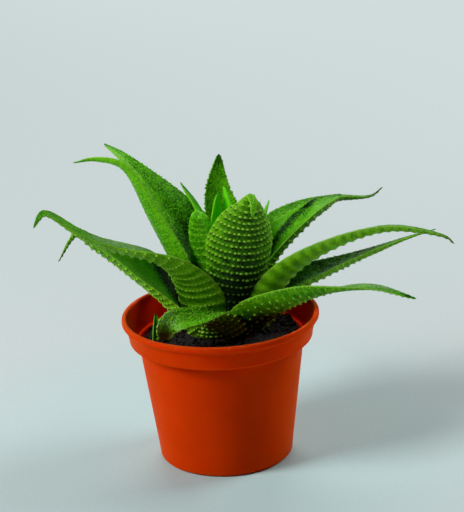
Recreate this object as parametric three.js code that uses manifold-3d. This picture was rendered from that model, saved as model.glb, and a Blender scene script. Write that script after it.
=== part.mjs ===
// Potted haworthia: a rosette of fleshy, channelled, toothed leaves in a round plastic pot of peat.
// Millimetres, +Z up. The origin is the middle of the pot's flat underside; the front is towards -Y.

import * as THREE from 'three';
import { mergeVertices } from 'three/addons/utils/BufferGeometryUtils.js';
import Module from 'manifold-3d';

const wasm = await Module();
wasm.setup();

// Pot sizes: a common 9 cm nursery pot
const POT_HEIGHT = 68.8;
const RIM_RADIUS = 45;            // outside of the rolled lip
const LIP_WIDTH = 2.3;
const LIP_HEIGHT = 3;
const BAND_RADIUS = 41.9;         // lower edge of the rim band
const BAND_HEIGHT = 11.8;         // from the step up to the top of the lip
const STEP_RADIUS = 37.8;         // body just under the step
const BASE_RADIUS = 30.7;
const BASE_EDGE = 2;              // rounding where the wall meets the base
const WALL = 1.3;
const POT_SEGMENTS = 40;
const DRAIN_HOLES = 6;
const DRAIN_RADIUS = 3;
const DRAIN_SEGMENTS = 10;
const DRAIN_RING = 20;            // the holes' centres lie on this radius

// Soil sizes
const SOIL_EDGE_Z = 57.5;         // level at the pot's wall
const SOIL_MOUND = 2.5;           // how much higher the middle is
const SOIL_TILT = 1;              // the right side is higher than the middle, the left side lower
const SOIL_LUMP = 0.7;
const SOIL_RINGS = 6;
const SOIL_SEGMENTS = 30;

// Crown: the short stem that every leaf grows from
const STEM_X = 3;
const CROWN_RADIUS = 4.5;
const CROWN_ROOT_RADIUS = 3;
const CROWN_TOP_Z = 66;
const CROWN_ROOT_Z = 42;
const POST_SEGMENTS = 12;

const GAP = 0.3;                  // clearance between solids that touch
const FIT_SWELL = 0.6;            // how much a leaf is swollen for the next ones to be fitted round it
const FIT_STEPS = 1.6;            // sections of the swollen leaf for every band
const FIT_STEPS_CLOSE = 3;        // the same on the leaves that bend more sharply
const FINEST = 0.05;              // edges shorter than this are closed up

// Leaf section
const LEAF_THICKNESS = 3.6;       // at the base, along the keel
const MARGIN_THICKNESS = 0.7;
const RIDGE_HEIGHT = 0.35;        // cross ridges on the outer face
const TUBERCLE_HEIGHT = 0.6;      // pearls that stand on each ridge
const TOOTH_LENGTH = 0.6;         // teeth of the margin, one at the end of each ridge
const KEEL_POWER = 1.8;           // how full the outer face is between keel and margin
const THINNING = 0.65;            // share of the keel's thickness that is lost by the tip
const KEEL_LIMIT = 0.42;          // the keel is never thicker than this share of the width
const EDGE_LIMIT = 0.3;           // nor is the margin thicker than this share
const SPINE_DEPTH = 0.35;         // how deep in the channel the spine runs, as a share of its depth
const FOLD_POWER = 0.7;           // how early the channel opens on its way to the tip
const FULL_RELIEF_WIDTH = 9;      // ridges, pearls and teeth fade where the blade is narrower than this
const CROWDING = 0.3;             // how much closer the sections stand towards the tip

// Colours
const LEAF_GREEN = 0x357a12;
const HEART_GREEN = 0x4d9c22;
const POT_COLOUR = 0xb83a06;
const SOIL_COLOUR = 0x1d130d;
const CROWN_COLOUR = 0x8aa05a;

const radians = THREE.MathUtils.degToRad;
const lerp = THREE.MathUtils.lerp;
const clamp = THREE.MathUtils.clamp;

function makeMaterial(colour, roughness) {
  return new THREE.MeshStandardMaterial({ color: colour, roughness, metalness: 0 });
}

const potMaterial = makeMaterial(POT_COLOUR, 0.45);
const soilMaterial = makeMaterial(SOIL_COLOUR, 0.95);
const crownMaterial = makeMaterial(CROWN_COLOUR, 0.7);
const leafMaterial = makeMaterial(LEAF_GREEN, 0.5);
const heartMaterial = makeMaterial(HEART_GREEN, 0.45);

// The leaves. azimuth is counter-clockwise from +X in degrees, so 270 faces the front. spine holds the
// points that the leaf's middle line passes, each [distance out from the stem, height, side shift].
// width is measured round the channel at the widest place, fold is the channel's opening angle at the
// base and the tip, and roll turns the blade about its own line from the base to the tip.
// Inner leaves come first: each leaf is fitted round those before it.
const LEAVES = [
  { name: 'leaf_heart_left', azimuth: 125, width: 13, taper: 0.9, bands: 5, small: true, fold: [90, 40],
    spine: [[2, 65], [4, 90], [4, 112], [2, 125]] },
  { name: 'leaf_heart_right', azimuth: 45, width: 12, taper: 0.9, bands: 5, small: true, fold: [90, 40],
    spine: [[2, 65], [5, 90], [5, 112], [2, 128]] },
  { name: 'leaf_inner_left', azimuth: 168, width: 17.6, bands: 7, small: true, roll: [-2, -3],
    spine: [[4, 63, 0], [5.2, 98, -1.4], [11.3, 119.1, 0.1], [18.3, 130.3, 0]] },
  { name: 'leaf_inner_curled', azimuth: 200, width: 24, baseWidth: 0.35, taper: 0.9, bands: 7, small: true,
    fold: [110, 60],
    spine: [[3, 63, 0], [8, 84, 0], [10.5, 100, 0], [12, 110, 0], [12, 117, 2], [8, 116, 5]] },
  { name: 'leaf_inner_right', azimuth: 10, width: 13, bands: 6, small: true,
    spine: [[4, 63], [13, 96], [19, 113], [22, 120]] },
  { name: 'leaf_front_upright', azimuth: 278, width: 34.6, bands: 14, columns: 14, widest: 0.5, baseWidth: 0.45,
    fold: [150, 90], tail: 5, shoulder: 1.8, taper: 1, tailStart: 0.85, tip: 1.5,
    spine: [[4, 61, 0], [7, 82, 2.9], [9.9, 100.8, 6.2], [12.9, 113.8, 8], [15.7, 122.6, 9.8],
      [17.6, 128.6, 10.5], [21.7, 126.4, 11.3], [24, 120.5, 10.2]] },
  { name: 'leaf_back_upright', azimuth: 90, width: 32, tail: 3.6, taper: 1.1, bands: 10, fold: [90, 40],
    spine: [[6, 61, 0], [9.9, 90.4, -5.1], [14.3, 121.1, 1.2], [13.7, 139.5, 0]] },
  { name: 'leaf_right_back', azimuth: 57, width: 20.3, tail: 4.9, bands: 10, roll: [-3, 12],
    spine: [[8, 60, 0], [24.1, 83.1, 0.1], [44.9, 96.7, 0.7], [66, 100.6, -3.7], [89.3, 100.2, -11.2]] },
  { name: 'leaf_upper_left_back', azimuth: 130, width: 28.6, tail: 2.9, taper: 1.9, bands: 12, widest: 0.35,
    fold: [110, 50], roll: [10, -19, -5],
    spine: [[8, 60, 0], [16, 87.8, -0.7], [32.7, 111.5, 3.4], [66, 129.5, 2.5], [86.9, 131.7, -1.5]] },
  { name: 'leaf_upper_left_front', azimuth: 170, width: 25, tail: 2.5, taper: 1.6, bands: 12, widest: 0.35,
    roll: [6, 23, 28],
    spine: [[8, 60, 0], [15.7, 85.1, 0.7], [30.6, 114.5, -0.6], [43.2, 138.4, 0.6], [56, 141.4, -0.1],
      [66.7, 139.5, 0.8]] },
  { name: 'leaf_right_upturned', azimuth: 28, width: 28.7, tail: 1.5, taper: 1.6, bands: 12, widest: 0.26,
    roll: [2, -7],
    spine: [[7, 60, 0], [19.4, 87.4, 2.8], [44.9, 110.3, -5.3], [64, 109.8, 5.4], [79.8, 108.9, 0.3],
      [85.1, 112.3, -1.1]] },
  { name: 'leaf_left_long', azimuth: 208, width: 27.9, baseWidth: 0.8, tail: 4.5, taper: 1.4, bands: 14,
    fold: [120, 20], roll: [35, 14, -5, -38],
    spine: [[10, 58, 0], [12.9, 84.3, -0.5], [30.3, 101.2, 4.2], [56.3, 112.6, -2], [70.2, 121.4, 1.8],
      [86.1, 133.1, 0.6], [91, 127.1, 0.1]] },
  { name: 'leaf_right_long', azimuth: 350, width: 21.8, tail: 3.2, taper: 1.7, bands: 14, fold: [130, 60],
    roll: [-32, -22, -7],
    spine: [[10, 58, 0], [26.2, 87.3, 0.6], [51.8, 103.8, -0.3], [76.3, 110.1, 0.1], [100.4, 105.4, 0.3],
      [103.9, 102.3, -0.4]] },
  { name: 'leaf_left_hooked', azimuth: 184, width: 40.3, tail: 2.2, taper: 1.84, bands: 12, fold: [100, 40],
    roll: [-6, -8, 17],
    spine: [[9, 58, 0], [22.4, 75.5, -4.5], [42, 94.2, 0.8], [57.8, 107, 3.6], [65.5, 111.4, -0.3],
      [74.6, 97, -4]] },
  { name: 'leaf_right_lower', azimuth: 17, width: 25.4, tail: 2.3, taper: 2.4, bands: 12, fold: [130, 60],
    roll: [28, -20],
    spine: [[10, 57, 0], [27.4, 74, 4.5], [48.5, 82.3, 0.1], [88, 91.3, -0.5], [103.4, 93.7, -1.2]] },
  { name: 'leaf_front_left_low', azimuth: 225, width: 10.9, baseWidth: 0.35, tail: 8.8, bands: 8, widest: 0.69,
    closeFit: true, fold: [57, 70], roll: [-62, 0, -32, -55],
    spine: [[4.2, 58, 4.2], [6.9, 71.4, 6.5], [17.7, 75, 7.6], [23.3, 75.2, 6.8], [36, 74.2, 0.9],
      [36.3, 65.4, -3.7]] },
  { name: 'leaf_front_middle_low', azimuth: 264, width: 29.2, baseWidth: 0.9, tail: 8, bands: 5, widest: 0.5,
    closeFit: true, fold: [60, 80], roll: [-7, 4, 7],
    spine: [[2.2, 59.7, 0], [8, 62, -1.5], [15.2, 70, -4], [19.8, 74.8, -6.1]] },
  { name: 'leaf_front_right_low', azimuth: 327, width: 20.2, baseWidth: 0.9, tail: 2.2, taper: 1.88, bands: 12,
    fold: [15, 34], roll: [-42, -41, 45],
    spine: [[8, 59, -3], [13.9, 69.2, -3.2], [39.9, 84.5, -3.9], [75.8, 93.5, -1.9], [97.1, 90.3, 0.2]] },
  { name: 'leaf_back_low_right', azimuth: 56, width: 21, bands: 5,
    spine: [[10, 57], [28, 70], [48, 75], [64, 70]] },
  { name: 'leaf_back_low_middle', azimuth: 96, width: 22, bands: 5,
    spine: [[10, 57], [28, 70], [47, 74], [62, 69]] },
  { name: 'leaf_back_low_left', azimuth: 138, width: 21, bands: 5,
    spine: [[10, 57], [28, 70], [43, 74], [54, 71]] },
];

// Values that a leaf has where its entry doesn't state its own. baseWidth is a share of the width; widest
// and tailStart are places along the leaf; shoulder and taper shape the blade between them, and a higher
// tip gives a blunter end.
const USUAL_LEAF = {
  fold: [150, 60], roll: [0, 0], widest: 0.2, baseWidth: 0.6, tail: 4, shoulder: 1.15, taper: 1.35,
  tailStart: 1, tip: 5, columns: 8, innerColumns: 3, thickness: LEAF_THICKNESS,
};
const SMALL_LEAF = { columns: 6, innerColumns: 2, thickness: 2.6, tail: 2.5 };
const SHOOT_LEAF = { bands: 4, columns: 4, innerColumns: 2, thickness: 2.2, tail: 1.5 };

// Offset shoot: a young plant's first blades by the left edge of the pot
const SHOOT_X = -29;
const SHOOT_Y = -4;
const SHOOT_HOLE = 3.4;           // radius of the plain hole that it stands in
const SHOOT_ROOT_Z = 53;
const SHOOT_BLADES = [
  { azimuth: 100, width: 4.5, spine: [[0.5, 53.5], [1, 60], [0.6, 66], [1.2, 70.5]] },
  { azimuth: 300, width: 4, spine: [[0, 54], [0.5, 57], [2.5, 60], [5, 61.5]] },
];

// A closed surface from rings of equal length: the first ring is capped with a fan, and the last ring
// runs to a single point.
function ringsToGeometry(rings, apex) {
  const perRing = rings[0].length;
  const positions = rings.flat().flatMap((p) => [p.x, p.y, p.z]);
  const baseCentre = rings[0].reduce((sum, p) => sum.add(p), new THREE.Vector3()).divideScalar(perRing);
  const capIndex = rings.length * perRing;
  positions.push(baseCentre.x, baseCentre.y, baseCentre.z, apex.x, apex.y, apex.z);
  const faces = [];
  for (let j = 0; j < perRing; j++) {
    const k = (j + 1) % perRing;
    faces.push(capIndex, k, j);
    for (let i = 0; i + 1 < rings.length; i++) {
      const a = i * perRing;
      const b = a + perRing;
      faces.push(a + j, a + k, b + k, a + j, b + k, b + j);
    }
    const last = (rings.length - 1) * perRing;
    faces.push(last + j, last + k, capIndex + 1);
  }
  const geometry = new THREE.BufferGeometry();
  geometry.setAttribute('position', new THREE.Float32BufferAttribute(positions, 3));
  geometry.setIndex(faces);
  return geometry;
}

// three.js geometry to a manifold solid
function toSolid(geometry) {
  const bare = geometry.clone();
  bare.deleteAttribute('normal');
  bare.deleteAttribute('uv');
  const merged = mergeVertices(bare, 1e-4);
  const mesh = new wasm.Mesh({
    numProp: 3,
    vertProperties: new Float32Array(merged.attributes.position.array),
    triVerts: new Uint32Array(merged.index.array),
  });
  mesh.merge();
  return new wasm.Manifold(mesh);
}

// A manifold solid back to three.js geometry
function toGeometry(solid) {
  const mesh = solid.getMesh();
  const geometry = new THREE.BufferGeometry();
  geometry.setAttribute('position', new THREE.Float32BufferAttribute(Array.from(mesh.vertProperties), 3));
  geometry.setIndex(Array.from(mesh.triVerts));
  return geometry;
}

// The body with the most volume, without its finest edges; scraps left by a cut are dropped.
function largestBody(solid) {
  const tidy = toSolid(toGeometry(solid.simplify(FINEST)));
  return tidy.decompose().reduce((best, body) => (body.volume() > best.volume() ? body : best));
}

// Values given at even steps along the leaf, read at t
function along(values, t) {
  const x = clamp(t, 0, 1) * (values.length - 1);
  const i = Math.min(Math.floor(x), values.length - 2);
  return lerp(values[i], values[i + 1], x - i);
}

// Spine, direction and side vectors of a leaf at t, from 0 at the base to 1 at the tip
function leafFrame(leaf, t) {
  const point = leaf.curve.getPointAt(t);
  const tangent = leaf.curve.getTangentAt(t);
  const side = leaf.sideways.clone().addScaledVector(tangent, -tangent.dot(leaf.sideways)).normalize();
  const inward = new THREE.Vector3().crossVectors(tangent, side);
  const turn = radians(along(leaf.roll, t));
  const rolledSide = side.clone().multiplyScalar(Math.cos(turn)).addScaledVector(inward, Math.sin(turn));
  const rolledInward = inward.multiplyScalar(Math.cos(turn)).addScaledVector(side, -Math.sin(turn));
  return { point, side: rolledSide, inward: rolledInward };
}

// Width round the channel: a quarter sine up to the widest place, then a blade that tapers into a
// narrow tail, which closes at the very tip.
function leafWidth(leaf, t) {
  if (t < leaf.widest) {
    return leaf.width * lerp(leaf.baseWidth, 1, Math.sin((Math.PI / 2) * (t / leaf.widest)));
  }
  const blade = clamp((t - leaf.widest) / (leaf.tailStart - leaf.widest), 0, 1);
  const tail = (t - leaf.widest) / (1 - leaf.widest);
  return (leaf.width - leaf.tail) * (1 - blade ** leaf.shoulder) ** leaf.taper
    + leaf.tail * Math.sqrt(Math.max(0, 1 - tail ** leaf.tip));
}

// One cross-section. The inner face is an arc of the channel's opening angle; the outer face stands off
// it by the thickness, which is greatest on the keel. crest is 1 on a cross ridge and 0 between two.
// grow swells the section all round, for the clearance that another leaf is fitted to.
function leafSection(leaf, t, crest, grow) {
  const { point, side, inward } = leafFrame(leaf, t);
  const width = leafWidth(leaf, t);
  const opening = radians(lerp(leaf.fold[0], leaf.fold[1], t ** FOLD_POWER));
  const radius = width / opening;
  const lift = SPINE_DEPTH * radius * (1 - Math.cos(opening / 2));
  const keel = Math.min(leaf.thickness * (1 - THINNING * t), KEEL_LIMIT * width);
  const edge = Math.min(MARGIN_THICKNESS, EDGE_LIMIT * width);
  const fade = clamp(width / FULL_RELIEF_WIDTH, 0.3, 1);
  const tooth = (grow > 0 ? 1 : crest) * TOOTH_LENGTH * fade + grow;

  // v runs from -1 to 1 between the margins; depth is measured outward from the inner face
  const place = (v, depth) => {
    const angle = (v * opening) / 2;
    const reach = Math.abs(v) === 1 ? Math.sign(v) * tooth : 0;
    const x = (radius + depth) * Math.sin(angle) + reach * Math.cos(angle);
    const y = radius - (radius + depth) * Math.cos(angle) - lift + reach * Math.sin(angle);
    return point.clone().addScaledVector(side, x).addScaledVector(inward, y);
  };
  const ring = [];
  for (let j = 0; j <= leaf.columns; j++) {
    const v = (2 * j) / leaf.columns - 1;
    const pearl = grow > 0 || j % 2 === 1 ? TUBERCLE_HEIGHT : 0;
    const relief = (grow > 0 ? 1 : crest) * (RIDGE_HEIGHT + pearl) * fade * (1 - Math.abs(v) ** 6);
    ring.push(place(v, edge + (keel - edge) * (1 - Math.abs(v) ** KEEL_POWER) + relief + grow));
  }
  for (let j = leaf.innerColumns; j >= 0; j--) {
    ring.push(place((2 * j) / leaf.innerColumns - 1, -grow));
  }
  return ring;
}

// A whole leaf: two sections for every band, one in the valley and one on the ridge, closer together
// towards the tip.
function leafGeometry(leaf) {
  const rings = [];
  const steps = 2 * leaf.bands;
  for (let i = 0; i < steps; i++) {
    const s = i / steps;
    rings.push(leafSection(leaf, s * (1 + CROWDING * (1 - s)), i % 2, 0));
  }
  return ringsToGeometry(rings, leaf.curve.getPointAt(1));
}

// The swollen form of a leaf that later leaves are fitted round, in even sections. It has fewer columns
// than the leaf, except on a leaf with a close fit.
function leafClearance(leaf) {
  const fewer = { columns: Math.max(6, leaf.columns / 2), innerColumns: 2 };
  const coarse = leaf.closeFit ? leaf : { ...leaf, ...fewer };
  const rings = [];
  const steps = Math.ceil((leaf.small || leaf.closeFit ? FIT_STEPS_CLOSE : FIT_STEPS) * leaf.bands);
  for (let i = 0; i < steps; i++) {
    rings.push(leafSection(coarse, i / steps, 1, FIT_SWELL));
  }
  const apex = leaf.curve.getPointAt(1).addScaledVector(leaf.curve.getTangentAt(1), 3 * FIT_SWELL);
  return toSolid(ringsToGeometry(rings, apex));
}

// Fills in a leaf's usual values and makes its curve round the given stem
function growLeaf(spec, stemX, stemY) {
  const leaf = { ...USUAL_LEAF, ...spec };
  if (leaf.small) {
    Object.assign(leaf, SMALL_LEAF);
  }
  const angle = radians(leaf.azimuth);
  const out = new THREE.Vector3(Math.cos(angle), Math.sin(angle), 0);
  leaf.sideways = new THREE.Vector3(-Math.sin(angle), Math.cos(angle), 0);
  const points = leaf.spine.map(([away, height, shift = 0]) => new THREE.Vector3(stemX, stemY, height)
    .addScaledVector(out, away)
    .addScaledVector(leaf.sideways, shift));
  leaf.curve = new THREE.CatmullRomCurve3(points, false, 'centripetal');
  return leaf;
}

// Pot: one lathe with a rolled lip, a rim band, a step and a rounded base edge, then the drain holes
function potSolid() {
  const stepZ = POT_HEIGHT - BAND_HEIGHT;
  const lipInside = RIM_RADIUS - LIP_WIDTH;
  const bandTop = RIM_RADIUS - 1.6;
  const edge = (degrees) => new THREE.Vector2(
    BASE_RADIUS - BASE_EDGE * (1 - Math.sin(radians(degrees))),
    BASE_EDGE * (1 - Math.cos(radians(degrees))),
  );
  const profile = [
    new THREE.Vector2(0, 0),
    edge(0), edge(45), edge(90),
    new THREE.Vector2(STEP_RADIUS, stepZ - 0.4),
    new THREE.Vector2(STEP_RADIUS + 0.4, stepZ),
    new THREE.Vector2(BAND_RADIUS - 0.5, stepZ),
    new THREE.Vector2(BAND_RADIUS, stepZ + 0.5),
    new THREE.Vector2(bandTop, POT_HEIGHT - LIP_HEIGHT),
    new THREE.Vector2(RIM_RADIUS, POT_HEIGHT - LIP_HEIGHT + 0.9),
    new THREE.Vector2(RIM_RADIUS, POT_HEIGHT - 1),
    new THREE.Vector2(RIM_RADIUS - 0.8, POT_HEIGHT),
    new THREE.Vector2(lipInside + 0.6, POT_HEIGHT),
    new THREE.Vector2(lipInside, POT_HEIGHT - 1),
    new THREE.Vector2(BAND_RADIUS - WALL, stepZ + 1.5),
    new THREE.Vector2(STEP_RADIUS - WALL, stepZ - 1.5),
    new THREE.Vector2(BASE_RADIUS - WALL, WALL),
    new THREE.Vector2(0, WALL),
  ];
  const shell = new THREE.LatheGeometry(profile, POT_SEGMENTS);
  shell.rotateX(Math.PI / 2);
  let pot = toSolid(shell);
  for (let i = 0; i < DRAIN_HOLES; i++) {
    const hole = new THREE.CylinderGeometry(DRAIN_RADIUS, DRAIN_RADIUS, 4 * WALL, DRAIN_SEGMENTS);
    hole.rotateX(Math.PI / 2);
    hole.translate(DRAIN_RING, 0, WALL / 2);
    hole.rotateZ((i * 2 * Math.PI) / DRAIN_HOLES);
    pot = pot.subtract(toSolid(hole));
  }
  return pot;
}

// Height of the soil's surface: a low mound, a slight tilt and soft lumps
function soilHeight(x, y) {
  const distance = Math.hypot(x, y) / STEP_RADIUS;
  const lumps = Math.sin(0.31 * x + 1.7) * Math.cos(0.27 * y - 0.6) + 0.6 * Math.sin(0.55 * x - 0.4 * y + 2.1);
  return SOIL_EDGE_Z + SOIL_MOUND * (1 - distance ** 2) + (SOIL_TILT * x) / STEP_RADIUS + SOIL_LUMP * lumps;
}

// Soil: rings of points from the wall to the middle on top, a side that follows the pot's wall, and a
// flat bottom. grow raises the top, for the clearance that leaves are fitted to.
function soilSolid(grow = 0) {
  const innerRadius = (z) => lerp(BASE_RADIUS, STEP_RADIUS, z / (POT_HEIGHT - BAND_HEIGHT)) - WALL - GAP;
  const bottomZ = WALL + GAP;
  const wallZ = POT_HEIGHT - BAND_HEIGHT - 3;
  const circle = (radius, height) => Array.from({ length: SOIL_SEGMENTS }, (_, j) => {
    const angle = (2 * Math.PI * j) / SOIL_SEGMENTS;
    const x = radius * Math.cos(angle);
    const y = radius * Math.sin(angle);
    return new THREE.Vector3(x, y, height === undefined ? soilHeight(x, y) + grow : height);
  });
  const rings = [circle(innerRadius(bottomZ), bottomZ)];
  const wallRadius = innerRadius(wallZ);
  rings.push(circle(wallRadius, wallZ));
  for (let i = 0; i < SOIL_RINGS; i++) {
    rings.push(circle((wallRadius * (SOIL_RINGS - i)) / SOIL_RINGS));
  }
  return toSolid(ringsToGeometry(rings, new THREE.Vector3(0, 0, soilHeight(0, 0) + grow)));
}

// A round post on the stem's axis, between two heights
function stemPost(radius, lowZ, highZ, x, y) {
  const post = new THREE.CylinderGeometry(radius, radius, highZ - lowZ, POST_SEGMENTS);
  post.rotateX(Math.PI / 2);
  post.translate(x, y, (lowZ + highZ) / 2);
  return toSolid(post);
}

// Crown: a stout stem with a thinner root below it
function crownSolid(grow = 0) {
  const joinZ = SOIL_EDGE_Z - 2;
  return stemPost(CROWN_RADIUS + grow, joinZ - grow, CROWN_TOP_Z + grow, STEM_X, 0)
    .add(stemPost(CROWN_ROOT_RADIUS + grow, CROWN_ROOT_Z - grow, joinZ, STEM_X, 0));
}

// Offset shoot: two small blades joined in one body
function shootSolid() {
  return SHOOT_BLADES
    .map((blade) => growLeaf({ ...SHOOT_LEAF, ...blade }, SHOOT_X, SHOOT_Y))
    .map((blade) => toSolid(leafGeometry(blade)))
    .reduce((all, blade) => all.add(blade));
}

// Every solid with its name and material. Each leaf is cut by the crown, the soil and the leaves before it.
function buildPlant() {
  const shootHole = stemPost(SHOOT_HOLE, SHOOT_ROOT_Z, POT_HEIGHT, SHOOT_X, SHOOT_Y);
  const soil = soilSolid().subtract(crownSolid(GAP)).subtract(shootHole);
  const solids = [
    { name: 'pot', solid: potSolid(), material: potMaterial },
    { name: 'soil', solid: largestBody(soil), material: soilMaterial },
    { name: 'crown', solid: crownSolid(), material: crownMaterial },
  ];

  const clearances = [crownSolid(GAP), soilSolid(GAP)];
  for (const spec of LEAVES) {
    const leaf = growLeaf(spec, STEM_X, 0);
    let solid = toSolid(leafGeometry(leaf));
    for (const clearance of clearances) {
      solid = solid.subtract(clearance);
    }
    const material = spec.small ? heartMaterial : leafMaterial;
    solids.push({ name: spec.name, solid: largestBody(solid), material });
    clearances.push(leafClearance(leaf));
  }
  solids.push({ name: 'offset_shoot', solid: shootSolid(), material: heartMaterial });
  return solids;
}

const plant = new THREE.Group();
for (const { name, solid, material } of buildPlant()) {
  const mesh = new THREE.Mesh(toGeometry(solid), material);
  mesh.name = name;
  plant.add(mesh);
}

export default plant;
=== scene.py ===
"""Potted haworthia: a rosette of pearl-ridged, toothed leaves in a round plastic pot of peat.

Sizes are millimetres until a mesh is made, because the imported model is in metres. Each surface is a
numpy formula worked out for whole arrays at once.
"""

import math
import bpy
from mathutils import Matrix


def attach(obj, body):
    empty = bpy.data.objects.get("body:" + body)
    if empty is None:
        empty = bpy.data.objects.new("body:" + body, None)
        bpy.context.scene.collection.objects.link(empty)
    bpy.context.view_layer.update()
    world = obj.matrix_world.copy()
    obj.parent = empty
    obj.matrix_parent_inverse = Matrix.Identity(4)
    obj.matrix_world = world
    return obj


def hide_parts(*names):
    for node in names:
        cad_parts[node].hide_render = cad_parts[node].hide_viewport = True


bl_info = {
    "name": "Potted Haworthia",
    "version": (1, 0, 0),
    "blender": (4, 5, 0),
    "location": "3D View > Sidebar > Haworthia",
    "description": "Dresses the packed haworthia and its pot, and sets the stage round them",
    "category": "Add Mesh",
}

import bmesh
import bpy
import numpy as np
from bpy.props import FloatProperty, FloatVectorProperty, IntProperty, PointerProperty
from mathutils import Matrix, Vector

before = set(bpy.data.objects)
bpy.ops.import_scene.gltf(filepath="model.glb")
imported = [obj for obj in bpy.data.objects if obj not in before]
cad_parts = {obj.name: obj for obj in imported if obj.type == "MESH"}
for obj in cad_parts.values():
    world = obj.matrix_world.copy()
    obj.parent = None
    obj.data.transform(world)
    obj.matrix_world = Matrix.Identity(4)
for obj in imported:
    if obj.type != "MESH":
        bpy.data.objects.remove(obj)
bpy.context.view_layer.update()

MM = 0.001

# Pot sizes, the same as the model's
POT_HEIGHT = 68.8
RIM_RADIUS = 45.0
LIP_WIDTH = 2.3
LIP_HEIGHT = 3.0
BAND_RADIUS = 41.9
BAND_HEIGHT = 11.8
STEP_RADIUS = 37.8
BASE_RADIUS = 30.7
BASE_EDGE = 2.0
WALL = 1.3
STEP_Z = POT_HEIGHT - BAND_HEIGHT
DRAIN_HOLES = 6
DRAIN_RADIUS = 3.0
DRAIN_RING = 20.0

# Pot mesh: its sides, the rings between which its drain holes lie, and the points of the inner wall
POT_SIDES = 144
DRAIN_INNER = 14.0
DRAIN_OUTER = 26.0
INNER_WALL_POINTS = 16
WELD_DISTANCE = 0.02

# Soil and stem, the same as the model's
SOIL_EDGE_Z = 57.5
SOIL_MOUND = 2.5
SOIL_TILT = 1.0
SOIL_LUMP = 0.7
SOIL_WALL_Z = STEP_Z - 3
STEM_X = 3.0
SHOOT_X = -29.0
SHOOT_Y = -4.0

# Leaf section, the same as the model's
LEAF_THICKNESS = 3.6
MARGIN_THICKNESS = 0.7
KEEL_POWER = 1.8
THINNING = 0.65
KEEL_LIMIT = 0.42
EDGE_LIMIT = 0.3
SPINE_DEPTH = 0.35
FOLD_POWER = 0.7
FULL_RELIEF_WIDTH = 9.0
CROWDING = 0.3

# Leaf mesh, finer than the model's. LEAST_RELIEF is the least share of their size that the small
# shapes have on a narrow part, MARGIN_SWELL how far a ridge pushes the margin out, RIM_REACH how far the
# margin's own line stands out, BEAK_START and BEAK_RUN where the filled tip begins and over how much of
# t, GRAIN_RELIEF how uneven the inner face is, NUDGE the step of t or v that directions are measured
# over, and LAST_T the last place for pearls and teeth.
SPINE_STEPS = 400
RINGS_PER_ROW = 6
OUTER_COLUMNS = 32
INNER_COLUMNS = 28
LEAST_RELIEF = 0.55
MARGIN_SWELL = 0.4
RIM_REACH = 0.2
BEAK_START = 0.78
BEAK_RUN = 0.08
GRAIN_RELIEF = 0.12
NUDGE = 1e-3
LAST_T = 0.985

# The small shapes on a leaf: half length, half width and height at size 1, how far the flat dark bead
# of a pearl's painted shadow lies before its pearl, and grains on a square millimetre
PEARL_SHAPE = (0.56, 0.86, 0.5)
PEARL_SHADOW_SHAPE = (0.504, 0.688, 0.075)
PEARL_SHADOW_SHIFT = 0.75
TOOTH_SHAPE = (0.75, 0.5, 1.2)
GRAIN_SHAPE = (0.45, 0.4, 0.5)
GRAINS_PER_AREA = 0.7

# Leaf colour: how much more light the heart leaves pass, how sharp the edge of a fold's two halves is,
# and where leaves are in shade, near the soil and deep between the other leaves
HEART_GLOW = 3.0
HALF_BLUR = 0.08
LOW_SHADE_TOP = 76.0
LOW_SHADE_DEPTH = 12.0
CORE_TOP = 100.0
CORE_DEPTH = 28.0
CORE_RADIUS = 34.0
CORE_FADE = 20.0

# What a leaf has where its entry doesn't say otherwise. Lengths are in millimetres, angles in degrees,
# and a list runs from the base to the tip. t runs along a leaf from 0 to 1, v across it from -1 to 1.
# Form: the spine's points are distance out along the azimuth, height, and shift sideways, from x and y.
# fold is the channel's opening angle at the base and at the tip, and roll the turn about the spine.
# leaf_width() says what widest, base_width, tail, shoulder, taper, tail_start and tip do. rows and ridge
# are the number and height of the cross ridges. pearl, grain_size and tooth are the sizes of what stands
# on the leaf, pearl_step and tooth_step its spacing, and grain how thickly grains lie. beak is how far
# the inner face is filled near the tip.
# Colour: outer_tone and inner_tone run from 0, dark green, to 1, lime; on some leaves their low tones
# towards the base are painted shade. banding is how much lighter a ridge is than a valley, and edge_glow
# how much lighter the outer face gets towards its margins, partly the skin's own paler edge and partly
# painted shading across the rounded face. channel is painted shade along the fold of the inner face: its
# v along the leaf, its widths on the two sides, and its depth.
# halves changes the tone on each side of the fold. low_shade and core_shade are painted shade near the
# soil and between the other leaves, and tip_dark darkens a leaf at its tip. pearl_pale and tip_pale are
# how pale the pearls and the inner face's far half are, fleck and tail_fleck how strongly the blade and
# the tail are speckled, and warm how yellow the outer and the inner face are. The strip of painted grey
# glare along a margin takes its side, the v at which it starts, its start and stop along the leaf, and
# its strength.
USUAL_LEAF = dict(
    x=STEM_X, y=0, fold=(150, 60), roll=(0, 0), widest=0.2, base_width=0.6, tail=4, shoulder=1.15,
    taper=1.35, tail_start=1, tip=5, thickness=LEAF_THICKNESS, rows=30, ridge=0.35, pearl=1,
    pearl_step=1.9, grain=1, grain_size=1, tooth=0.5, tooth_step=1.9, beak=0,
    outer_tone=(0.4, 0.5, 0.6), inner_tone=(0.4, 0.5, 0.6), banding=(0.16, 0.16), edge_glow=0.15,
    channel=((0, 0), 0.16, 0.16, 0.15), halves=(0, 0), low_shade=0, core_shade=0, tip_dark=0.4,
    pearl_pale=1, tip_pale=0, fleck=0.35, tail_fleck=1, warm=(1, 0.3), bloom=(1, 0.5, 0, 1, 0),
    slot="leaf",
)
SMALL_LEAF = dict(
    tail=2.5, thickness=2.6, ridge=0.15, pearl=0.55, grain=0.3, tooth=0.35, tooth_step=1.6, tip_dark=0,
    tail_fleck=0.35, warm=(0.4, 0), slot="heart_leaf",
)
HEART_LEAF = SMALL_LEAF | dict(
    taper=0.9, fold=(90, 40), rows=16, channel=((0, 0), 0.16, 0.16, 0), outer_tone=(0, 0.85, 0.9),
    inner_tone=(0, 1, 1),
)
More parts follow.
